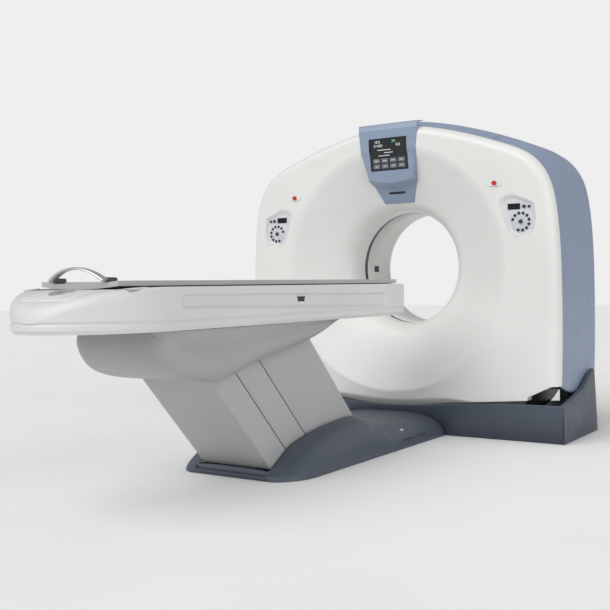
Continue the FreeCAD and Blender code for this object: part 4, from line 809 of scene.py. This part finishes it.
def bore_trim():
    """Rounded bezels round the two light windows in the throat's wall, bent to the bore."""
    corner = rounded([(0.106, -0.020), (0.166, -0.020), (0.166, 0.020), (0.106, 0.020)], 0.008)
    line = resample(np.array(corner), 60, closed=True)
    middle = line.mean(axis=0)
    rows = []
    for grow, r in ((1.0, BORE - 0.0003), (0.985, BORE - 0.0022), (0.86, BORE - 0.0022),
                    (0.5, BORE - 0.0012), (0.001, BORE - 0.0012)):
        at = middle + (line - middle) * grow
        turn = at[:, 1] / BORE
        rows.append(xyz(r * np.cos(turn), at[:, 0], ISO + r * np.sin(turn)))
    for s, side in ((1, "right"), (-1, "left")):
        piece(side + "_light_window_bezel", np.stack(rows) * (s, 1, 1), "gantry", DARK_TRIM_AND_SHADE,
              (s * 2.0, 0.136, ISO), wrap=True)


# ------------------------------------------------------------------ floor covers
BASE_SIDE = np.array([(-0.347, 0.214), (-0.187, 0.241), (0.004, 0.280), (0.138, 0.348), (0.212, 0.381),
                      (0.224, 0.374)])
BASE_FOOT = (-0.333, 0.285)
SWEEP = np.array([(0, 0.905), (0.200, 0.900), (0.340, 0.888), (0.500, 0.878), (0.700, 0.868), (0.865, 0.857),
                  (1.052, 0.852)])


FLOOR_GAP = 0.0025         # height of the floor covers' outer lower edge


def base_cover():
    """Height over X and Y: the lower of the side profile and a trough whose radius about the
    tilt axis shrinks outwards; the cheeks outside the trough keep the side profile."""
    x = np.r_[np.linspace(0, 1.040, 62), 1.0515, 1.0535, 1.069, 1.0750]
    x = np.r_[-x[:0:-1], x]
    radius = np.interp(np.abs(x), SWEEP[:, 0], SWEEP[:, 1])
    for _ in range(6):
        radius[1:-1] = (radius[:-2] + 2 * radius[1:-1] + radius[2:]) / 4
    y = np.r_[np.linspace(-0.347, 0.200, 60), 0.206, 0.212, 0.218, 0.224]
    side = np.interp(y, BASE_SIDE[:, 0], BASE_SIDE[:, 1])
    for _ in range(4):
        side[1:-1] = (side[:-2] + 2 * side[1:-1] + side[2:]) / 4
    trough = ISO - np.sqrt(radius ** 2 - y[:, None] ** 2)
    trough = np.where(np.abs(x) > 1.052, 1.0, trough)
    z = -smooth_max(-np.broadcast_to(side[:, None], trough.shape), -trough, 0.012)
    z -= 0.0025 * (np.abs(x) > 1.072)
    top = xyz(x, y[:, None], z)
    front = xyz(x, BASE_FOOT[0], 0.0)
    lip = top[:1] + (0, 0.0, -0.003)
    top[0, :, 1] += 0.003
    rear = xyz(x, BASE_FOOT[1], 0.0)
    rows = np.concatenate([front[None], lip, top, rear[None]])
    left, right = (rows[:, i:i + 1] * (1, 1, 0.985) + (out, 0, 0)
                   for i, out in ((0, -0.0015), (rows.shape[1] - 1, 0.0015)))
    rows = np.concatenate([left * (1, 1, 0), left, rows, right, right * (1, 1, 0)], axis=1)
    rows[..., 2] = np.maximum(rows[..., 2], FLOOR_GAP)
    shell = piece("gantry_base_shell", rows, "root", SLATE, (0, 0, -1), wall=COVER_WALL, angle=30)
    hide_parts("gantry_base_cover")


HOOD_HALF_W = 0.362
HOOD_CORNER = 0.150
HOOD_REAR, LINK_Y = -1.932, -0.985
LINK_TOP = 0.132
DOME = np.array([(-1.932, 0.040), (-1.905, 0.050), (-1.868, 0.066), (-1.767, 0.124), (-1.594, 0.178),
                 (-1.400, 0.207), (-1.230, 0.219), (-1.130, 0.216), (-1.050, 0.185), (-0.985, 0.132)])
SLOT_X, SLOT_Y0, SLOT_Y1 = 0.206, -1.908, -1.084
SILL = 0.022


def hood_rows(y, top, half, inner):
    """Super-ellipse section over each station: height is top * (1 - (x / half)^3.8)^0.5."""
    s = np.linspace(0, 1, 30)
    out = inner + (half[:, None] - inner) * (1 - (1 - s) ** 2.4)
    mid = np.broadcast_to(np.linspace(0, inner, 13)[:-1], (len(y), 12))
    x = np.concatenate([mid, out], axis=1)
    z = top[:, None] * np.sqrt(np.clip(1 - (x / half[:, None]) ** 3.8, 0, 1))
    x = np.concatenate([-x[:, :0:-1], x], axis=1)
    z = np.concatenate([z[:, :0:-1], z], axis=1)
    return xyz(x, y[:, None], z)


def table_base_cover():
    """Hood along Y with rounded rear corners in plan, a slot for the leg and a low sill behind it."""
    y = np.r_[HOOD_REAR, np.linspace(HOOD_REAR, -1.9085, 8), SLOT_Y0, np.linspace(-1.90, SLOT_Y1, 90),
              np.linspace(SLOT_Y1, LINK_Y, 16)[1:]]
    top = spline(DOME, 400)
    top = np.interp(y, top[:, 0], top[:, 1])
    t = np.clip((HOOD_REAR + HOOD_CORNER * 1.4 - y) / (HOOD_CORNER * 1.4), 0, 1)
    half = HOOD_HALF_W - HOOD_CORNER * (1 - np.sqrt(1 - t ** 2 * 0.98))
    rows = hood_rows(y, top, half, SLOT_X)
    rows[0, :, 2] = 0.0
    rows[..., 2] = np.maximum(rows[..., 2], FLOOR_GAP)
    low = (np.abs(rows[..., 0]) < SLOT_X + 1e-6) & (rows[..., 1] < SLOT_Y0 - 1e-4)
    rows[..., 2] = np.where(low, np.minimum(rows[..., 2], SILL), rows[..., 2])
    cx = (rows[:-1, :-1, 0] + rows[1:, 1:, 0]) / 2
    cy = (rows[:-1, :-1, 1] + rows[1:, 1:, 1]) / 2
    keep = ~((np.abs(cx) < SLOT_X) & (cy > SLOT_Y0) & (cy < SLOT_Y1))
    shell = piece("table_base_shell", rows, "root", SLATE, (0, -1.4, -1), keep=keep, wall=COVER_WALL,
                  angle=30)
    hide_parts("table_base_cover")


def link_cover():
    """Same section at a constant height, ending against the leaning front of the gantry's base."""
    y = np.r_[LINK_Y + GAP, LINK_Y + GAP + 0.002, np.linspace(LINK_Y + 0.01, -0.345, 20)]
    top = np.r_[LINK_TOP - 0.003, np.full(len(y) - 1, LINK_TOP)]
    rows = hood_rows(y, top, np.full(len(y), HOOD_HALF_W), 0.25)
    rows[..., 2] = np.maximum(rows[..., 2], FLOOR_GAP)
    rows[-1, :, 1] = BASE_FOOT[0] - 0.0012 - 0.014 * rows[-1, :, 2] / 0.214
    shell = piece("link_cover_shell", rows, "root", SLATE, (0, -0.7, -1), wall=COVER_WALL)
    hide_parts("link_cover")
    grids = []
    for y0, y1, z0, z1 in ((-0.86, -0.74, 0.042, 0.049), (-0.68, -0.58, 0.042, 0.049)):
        yy, zz = np.meshgrid(np.linspace(y0, y1, 9), np.linspace(z0, z1, 4))
        xx = HOOD_HALF_W * (1 - (zz / LINK_TOP) ** 2) ** (1 / 3.8)
        grids.append(xyz(xx + 0.0008, yy, zz))
    piece("link_cover_slots", grids, "root", DARK_TRIM_AND_SHADE, [(0, -0.7, 0)] * 2)
    yy, zz = np.meshgrid(np.linspace(-0.80, -0.765, 9), np.linspace(0.086, 0.094, 5))
    xx = HOOD_HALF_W * (1 - (zz / LINK_TOP) ** 2) ** (1 / 3.8)
    piece("link_cover_badge", xyz(xx + 0.0012, yy, zz), "root", CHROME, (0, -0.7, 0))


# ------------------------------------------------------------------ table
TABLE_HALF_W, HEAD_HALF_W = 0.325, 0.266
HEAD_Y, TAPER_Y, NOSE_Y, NOSE_L = -0.650, -0.930, -2.700, 0.400
TABLE_BOTTOM = 0.728
DECK_HALF_W, DECK_FOOT_Y, DECK_EDGE_Z = 0.298, -2.872, 0.8895
NOSE_TOP = np.array([(-3.101, 0.802), (-3.080, 0.826), (-3.030, 0.853), (-2.960, 0.876), (-2.880, 0.890),
                     (-2.780, 0.897), (-2.700, 0.899)])
RECESS_ENDS = (-2.620, -0.965)


def nose_z(y):
    """Height of the table's top edge along Y: level, then falling to the foot end."""
    line = spline(NOSE_TOP, 300)
    return np.interp(y, line[:, 0], line[:, 1])


def table_plan():
    """Closed plan: half-ellipse foot, straight sides, tapered head; starts at the foot's tip."""
    t = np.radians(np.linspace(-90, 0, 80))
    foot = np.stack([TABLE_HALF_W * np.cos(t), NOSE_Y + NOSE_L * np.sin(t)], axis=1)
    half = np.vstack([foot, [(TABLE_HALF_W, TAPER_Y), (HEAD_HALF_W, HEAD_Y), (0, HEAD_Y)]])
    loop = mirrored_loop(half)
    return soften(resample(loop, 640, closed=True), 0.006)


def table_side_inset(y, z):
    """How far the side lies inside the plan: long tapering recess, groove above the lower lip."""
    start, end = RECESS_ENDS
    along = ramp(y, start, start + 0.03) * ramp(-y, -end, -end + 0.03)
    share = (y - start) / (end - start)
    low = 0.812 - 0.036 * np.clip(share, 0, 1)
    high = 0.869 - 0.019 * np.clip(share, 0, 1)
    hollow = 0.013 * along * ramp(z, low - 0.003, low + 0.012) * ramp(-z, -high - 0.002, -high + 0.006)
    groove = 0.005 * np.exp(-((z - 0.768) / 0.0045) ** 2)
    lip = 0.010 * ramp(0.745 - z, 0, 0.018)
    return hollow + groove + lip


def table_cover():
    """Profile carried round the plan: flat rim from the deck's well, rounded top edge, side with
    its recess and lip, turned-in bottom. At the foot the rim widens into the falling top."""
    loop = table_plan()
    inward = normals_of(loop, closed=True)
    middle = np.array((0, -1.9))
    if (inward * (loop - middle)).sum() > 0:
        inward = -inward
    y = loop[:, 1]
    top = nose_z(y)
    soft = 0.008 + 0.026 * ramp(-y, 2.62, 2.98)
    well_y = np.clip(y, DECK_FOOT_Y, HEAD_Y - 0.02)
    oval = TABLE_HALF_W * np.sqrt(1 - (np.clip(NOSE_Y - well_y, 0, None) / NOSE_L) ** 2) - 0.005
    limit = np.minimum(np.interp(well_y, (TAPER_Y, HEAD_Y), (DECK_HALF_W, 0.245)), oval)
    share = np.clip(np.abs(loop[:, 0]) / np.where(y < DECK_FOOT_Y, 0.2934, 1), 0, 1)
    well_x = np.where(y < DECK_FOOT_Y, np.sign(loop[:, 0]) * share * limit, np.sign(loop[:, 0]) * limit)
    head = y > HEAD_Y - 0.02
    well_x = np.where(head, np.clip(loop[:, 0], -0.245, 0.245), well_x)
    well = np.stack([well_x, well_y], axis=1)
    rows = [xyz(well[:, 0], well[:, 1], DECK_EDGE_Z)]
    edge = loop + inward * soft[:, None]
    for t in np.linspace(0, 1, 16):
        at = well + (edge - well) * t
        rows.append(xyz(at[:, 0], at[:, 1], nose_z(at[:, 1])))
    for a in np.radians(np.linspace(0, 90, 8)[1:]):
        at = edge - inward * (soft * math.sin(a))[:, None]
        rows.append(xyz(at[:, 0], at[:, 1], nose_z(at[:, 1]) - soft * (1 - math.cos(a))))
    start = top - soft
    for v in np.linspace(0, 1, 40)[1:]:
        z = start + (TABLE_BOTTOM - start) * v
        at = loop + inward * table_side_inset(y, z)[:, None]
        rows.append(xyz(at[:, 0], at[:, 1], z))
    for deep in (0.014, 0.05, 0.09):
        at = loop + inward * deep
        rows.append(xyz(at[:, 0], at[:, 1], TABLE_BOTTOM))
    shell = piece("table_cover_shell", np.stack(rows), "table_top", TABLE_WHITE, (0, -1.9, 0.80), wrap=True,
                  wall=0.003, angle=30)
    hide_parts("table_cover")


def side_socket():
    """Dark trapezoid with a pale catch below it, in the right side's recess."""
    for name, z0, z1, half0, half1, out, material in (
            ("table_socket", 0.822, 0.846, 0.024, 0.033, 0.0012, DARK_TRIM_AND_SHADE),
            ("table_socket_catch", 0.813, 0.822, 0.014, 0.016, 0.0022, PLATE_WHITE)):
        z = np.linspace(z0, z1, 5)
        half = np.interp(z, (z0, z1), (half0, half1))
        y = -1.770 + half[:, None] * np.linspace(-1, 1, 7)
        x = TABLE_HALF_W - table_side_inset(y, z[:, None]) + out
        grid = xyz(x, y, z[:, None])
        back = grid[:, :1] - (0.003, 0, 0), grid[:, -1:] - (0.003, 0, 0)
        grid = np.concatenate([back[0], grid, back[1]], axis=1)
        grid = np.concatenate([grid[:1] - (0.003, 0, 0), grid, grid[-1:] - (0.003, 0, 0)])
        piece(name, grid, "table_top", material, (0, -1.77, 0.83))


def foot_insert():
    """Thin plate with rounded corners over the foot's falling top, and a domed cap in it."""
    corner = rounded([(-0.142, -3.032), (0.142, -3.032), (0.142, -2.885), (-0.142, -2.885)], 0.035, 10)
    line = resample(np.array(corner), 120, closed=True)
    middle = line.mean(axis=0)
    rows = []
    for grow, up in ((1.0, -0.002), (1.0, 0.0006), (0.99, 0.0016), (0.97, 0.0018), (0.8, 0.0018),
                     (0.6, 0.0018), (0.4, 0.0018), (0.2, 0.0018), (0.001, 0.0018)):
        at = middle + (line - middle) * grow
        rows.append(xyz(at[:, 0], at[:, 1], nose_z(at[:, 1]) + up))
    plate = piece("foot_panel_plate", np.stack(rows), "table_top", FOOT_WHITE, (0, -2.95, 0.5), wrap=True)
    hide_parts("foot_panel")
    turn = np.linspace(0, 2 * math.pi, 72, endpoint=False)
    rows = []
    for r, up in ((0.050, 0.0005), (0.050, 0.0035), (0.0485, 0.0045), (0.044, 0.0045), (0.0425, 0.0032),
                  (0.030, 0.0036), (0.015, 0.0040), (0.0001, 0.0042)):
        x, y = r * np.cos(turn), -2.935 + r * np.sin(turn)
        rows.append(xyz(x, y, nose_z(y) + up))
    cap = piece("foot_cap_disc", np.stack(rows), "table_top", CAP_GREY, (0, -2.935, 0.5), wrap=True)
    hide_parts("foot_cap")


BELLY_HALF_W = 0.300
BELLY_TOP = 0.7274
BELLY_SIDE = np.array([(-2.670, BELLY_TOP), (-2.657, 0.640), (-2.602, 0.572), (-2.512, 0.527),
                       (-2.400, 0.503), (-2.300, 0.494), (-2.190, 0.514), (-2.044, 0.551),
                       (-1.630, 0.628), (-1.440, 0.700), (-1.400, BELLY_TOP)])
BELLY_HALF = np.array([(1.0, 0.0), (0.985, 0.10), (0.952, 0.22), (0.956, 0.36), (0.965, 0.50), (0.945, 0.68),
                       (0.885, 0.86), (0.790, 0.975), (0.6867, 1.0)])
BELLY_SLOT_Y = -2.372


def belly_cover():
    """Cross section of width and depth shares, scaled by the plan's width and the side view's
    depth at each station; open where the leg goes in."""
    side = spline(BELLY_SIDE, 120)
    split = np.abs(side[:, 0] - BELLY_SLOT_Y).argmin()
    side[split, 0] = BELLY_SLOT_Y
    y = side[:, 0]
    depth = np.clip(BELLY_TOP - side[:, 1], 0, None)
    t = np.clip((-2.500 - y) / 0.172, 0, 1)
    half = BELLY_HALF_W - 0.12 * (1 - np.sqrt(1 - t ** 2 * 0.97))
    section = spline(BELLY_HALF, 44)
    section = np.vstack([section, np.stack([np.linspace(0.6867, 0, 9)[1:], np.ones(8)], axis=1)])
    section = np.vstack([section, section[-2::-1] * (-1, 1)])
    rows = xyz(half[:, None] * section[:, 0], y[:, None], BELLY_TOP - depth[:, None] * section[:, 1])
    cx = (rows[:-1, :-1, 0] + rows[1:, 1:, 0]) / 2
    cy = (rows[:-1, :-1, 1] + rows[1:, 1:, 1]) / 2
    flat = (section[:-1, 1] > 0.999) & (section[1:, 1] > 0.999)
    keep = ~((cy > BELLY_SLOT_Y) & flat & (np.abs(cx) < SLOT_X))
    # the belly's colour holds painted shade as well as its own grey
    shell = piece("belly_cover_shell", rows, "table_top", BELLY_GREY_AND_SHADE, (0, -2.1, 0.72), keep=keep,
                  wall=COVER_WALL, angle=40)
    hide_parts("belly_cover")


HANDLE_HALF, HANDLE_RISE = 0.152, 0.050
HANDLE_Y, HANDLE_W, HANDLE_T = -2.862, 0.035, 0.0105


def signed_power(value, n):
    """Power that keeps the sign, which squares a circle's corners when n is under 1."""
    return np.sign(value) * np.abs(value) ** n


def cradle_handle():
    """Rounded ribbon carried along a circular arch, splayed a little at its feet."""
    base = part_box("cradle_handle")[0][2] + 0.012
    radius = (HANDLE_HALF ** 2 + HANDLE_RISE ** 2) / (2 * HANDLE_RISE)
    sweep = math.asin(HANDLE_HALF / radius)
    turn = np.linspace(-sweep, sweep, 90)
    share = turn / sweep
    c = np.linspace(0, 2 * math.pi, 25)[:-1]
    wide = HANDLE_W / 2 * np.sign(np.cos(c)) * np.abs(np.cos(c)) ** 0.7
    thick = HANDLE_T / 2 * np.sign(np.sin(c)) * np.abs(np.sin(c)) ** 0.8
    mid = radius - HANDLE_T / 2
    r = mid + thick[None] * (1 + 0.5 * np.abs(share[:, None]) ** 3)
    x = r * np.sin(turn)[:, None]
    z = base + HANDLE_RISE - radius + r * np.cos(turn)[:, None]
    y = HANDLE_Y + wide[None] * (1 + 0.15 * share[:, None] ** 2) + 0.010 * share[:, None] ** 4
    rows = xyz(x, y, z)
    ends = [rows[:1].mean(axis=1, keepdims=True) + np.zeros_like(rows[:1]),
            rows[-1:].mean(axis=1, keepdims=True) + np.zeros_like(rows[:1])]
    handle = piece("cradle_handle_arch", np.concatenate([ends[0], rows, ends[1]]), "board", CHROME,
                   wrap=True)
    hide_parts("cradle_handle")
    for s, side in ((1, "right"), (-1, "left")):
        u = np.linspace(0, math.pi, 14)[:, None]
        v = np.linspace(0, 2 * math.pi, 29)[:-1][None]
        around = signed_power(np.sin(u), 0.4)
        x = s * 0.141 + 0.0115 * around * signed_power(np.cos(v), 0.4)
        z = base - 0.001 + 0.010 * around * signed_power(np.sin(v), 0.4)
        y = -2.820 + 0.032 * signed_power(np.cos(u), 0.5) + 0 * v
        block = piece(side + "_handle_foot", xyz(x, y, z), "board", DARK_STEEL,
                      (s * 0.141, -2.82, base), wrap=True)
        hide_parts("cradle_handle")


# ------------------------------------------------------------------ leg seams
LEAN = math.radians(46.5)
LEG_REAR = (-1.886, 0.058)


def leg_point(p, z):
    """Point of the leg's side view at a distance in front of its rear face, at a height."""
    return LEG_REAR[0] + (p - (z - LEG_REAR[1]) * math.cos(LEAN)) / math.sin(LEAN), z


def leg_seams():
    """Dark wiper strip along the free edge of each outer plate, on both sides."""
    for body, x, p, z0, z1 in (("slat_rear", 0.2002, 0.142, 0.086, 0.586),
                               ("slat_middle", 0.1942, 0.304, 0.142, 0.578)):
        grids = []
        for s in (1, -1):
            strip = []
            for dp, dx in ((-0.0065, -0.0008), (-0.006, 0.0006), (-0.0005, 0.0006), (0.0004, -0.004)):
                low, high = leg_point(p + dp, z0), leg_point(p + dp, z1)
                strip.append([(s * (x + dx), *low), (s * (x + dx), *high)])
            grids.append(np.array(strip))
        piece(body + "_wiper", grids, body, WIPER, (0, -1.9, 0.3))


# ------------------------------------------------------------------ run
front_cover()
wrap_covers()
rear_cover()
display_housing()
screen_marks()
control_panels()
bore_trim()
painted_shade_sheets()
base_cover()
table_base_cover()
link_cover()
table_cover()
side_socket()
foot_insert()
belly_cover()
cradle_handle()
leg_seams()


# ------------------------------------------------------------------ stage
AMBIENT, BACKDROP = 0.40, 0.86


def stage():
    """Pale floor and soft lights."""
    bpy.ops.mesh.primitive_plane_add(size=60, location=(0, 0, 0))
    floor = bpy.context.object
    floor.name = "floor"
    r = Recipe("floor_pale", 0.7)
    r.colours(r.noise(1.5), (0.90, 0.90, 0.90), (0.92, 0.92, 0.92))
    floor.data.materials.append(r.material)
    world = bpy.data.worlds.new("studio")
    world.use_nodes = True
    tree = world.node_tree
    seen = tree.nodes.new("ShaderNodeLightPath").outputs["Is Camera Ray"]
    level = tree.nodes.new("ShaderNodeMapRange")
    level.inputs["To Min"].default_value = AMBIENT
    level.inputs["To Max"].default_value = BACKDROP
    tree.links.new(seen, level.inputs["Value"])
    tree.links.new(level.outputs["Result"], tree.nodes["Background"].inputs["Strength"])
    tree.nodes["Background"].inputs["Color"].default_value = (1, 1, 1, 1)
    bpy.context.scene.world = world
    bpy.context.scene.view_settings.view_transform = "Standard"
    for name, towards, spread, power in (("key", (0.24, 0.66, -0.71), 60, 1.8),
                                         ("side", (-0.90, 0.25, -0.36), 50, 0.85)):
        lamp = bpy.data.lights.new(name, "SUN")
        lamp.angle = math.radians(spread)
        lamp.energy = power
        thing = bpy.data.objects.new(name, lamp)
        thing.rotation_euler = Vector(towards).to_track_quat("-Z", "Y").to_euler()
        bpy.context.scene.collection.objects.link(thing)


def camera():
    """Eye-height view from the table's foot, turned towards the gantry."""
    yaw, pitch, roll = np.radians((33.562, -1.187, -0.827))
    forward = np.array((-math.sin(yaw) * math.cos(pitch), math.cos(yaw) * math.cos(pitch), math.sin(pitch)))
    right = np.array((math.cos(yaw), math.sin(yaw), 0))
    up = np.cross(right, forward)
    x = right * math.cos(roll) + up * math.sin(roll)
    y = -right * math.sin(roll) + up * math.cos(roll)
    lens = bpy.data.cameras.new("view")
    lens.sensor_width = 36
    lens.lens = 55.56
    thing = bpy.data.objects.new("view", lens)
    turn = Matrix((x, y, -forward)).transposed().to_4x4()
    thing.matrix_world = Matrix.Translation((2.743, -5.402, 0.896)) @ turn
    bpy.context.scene.collection.objects.link(thing)
    bpy.context.scene.camera = thing


stage()
camera()
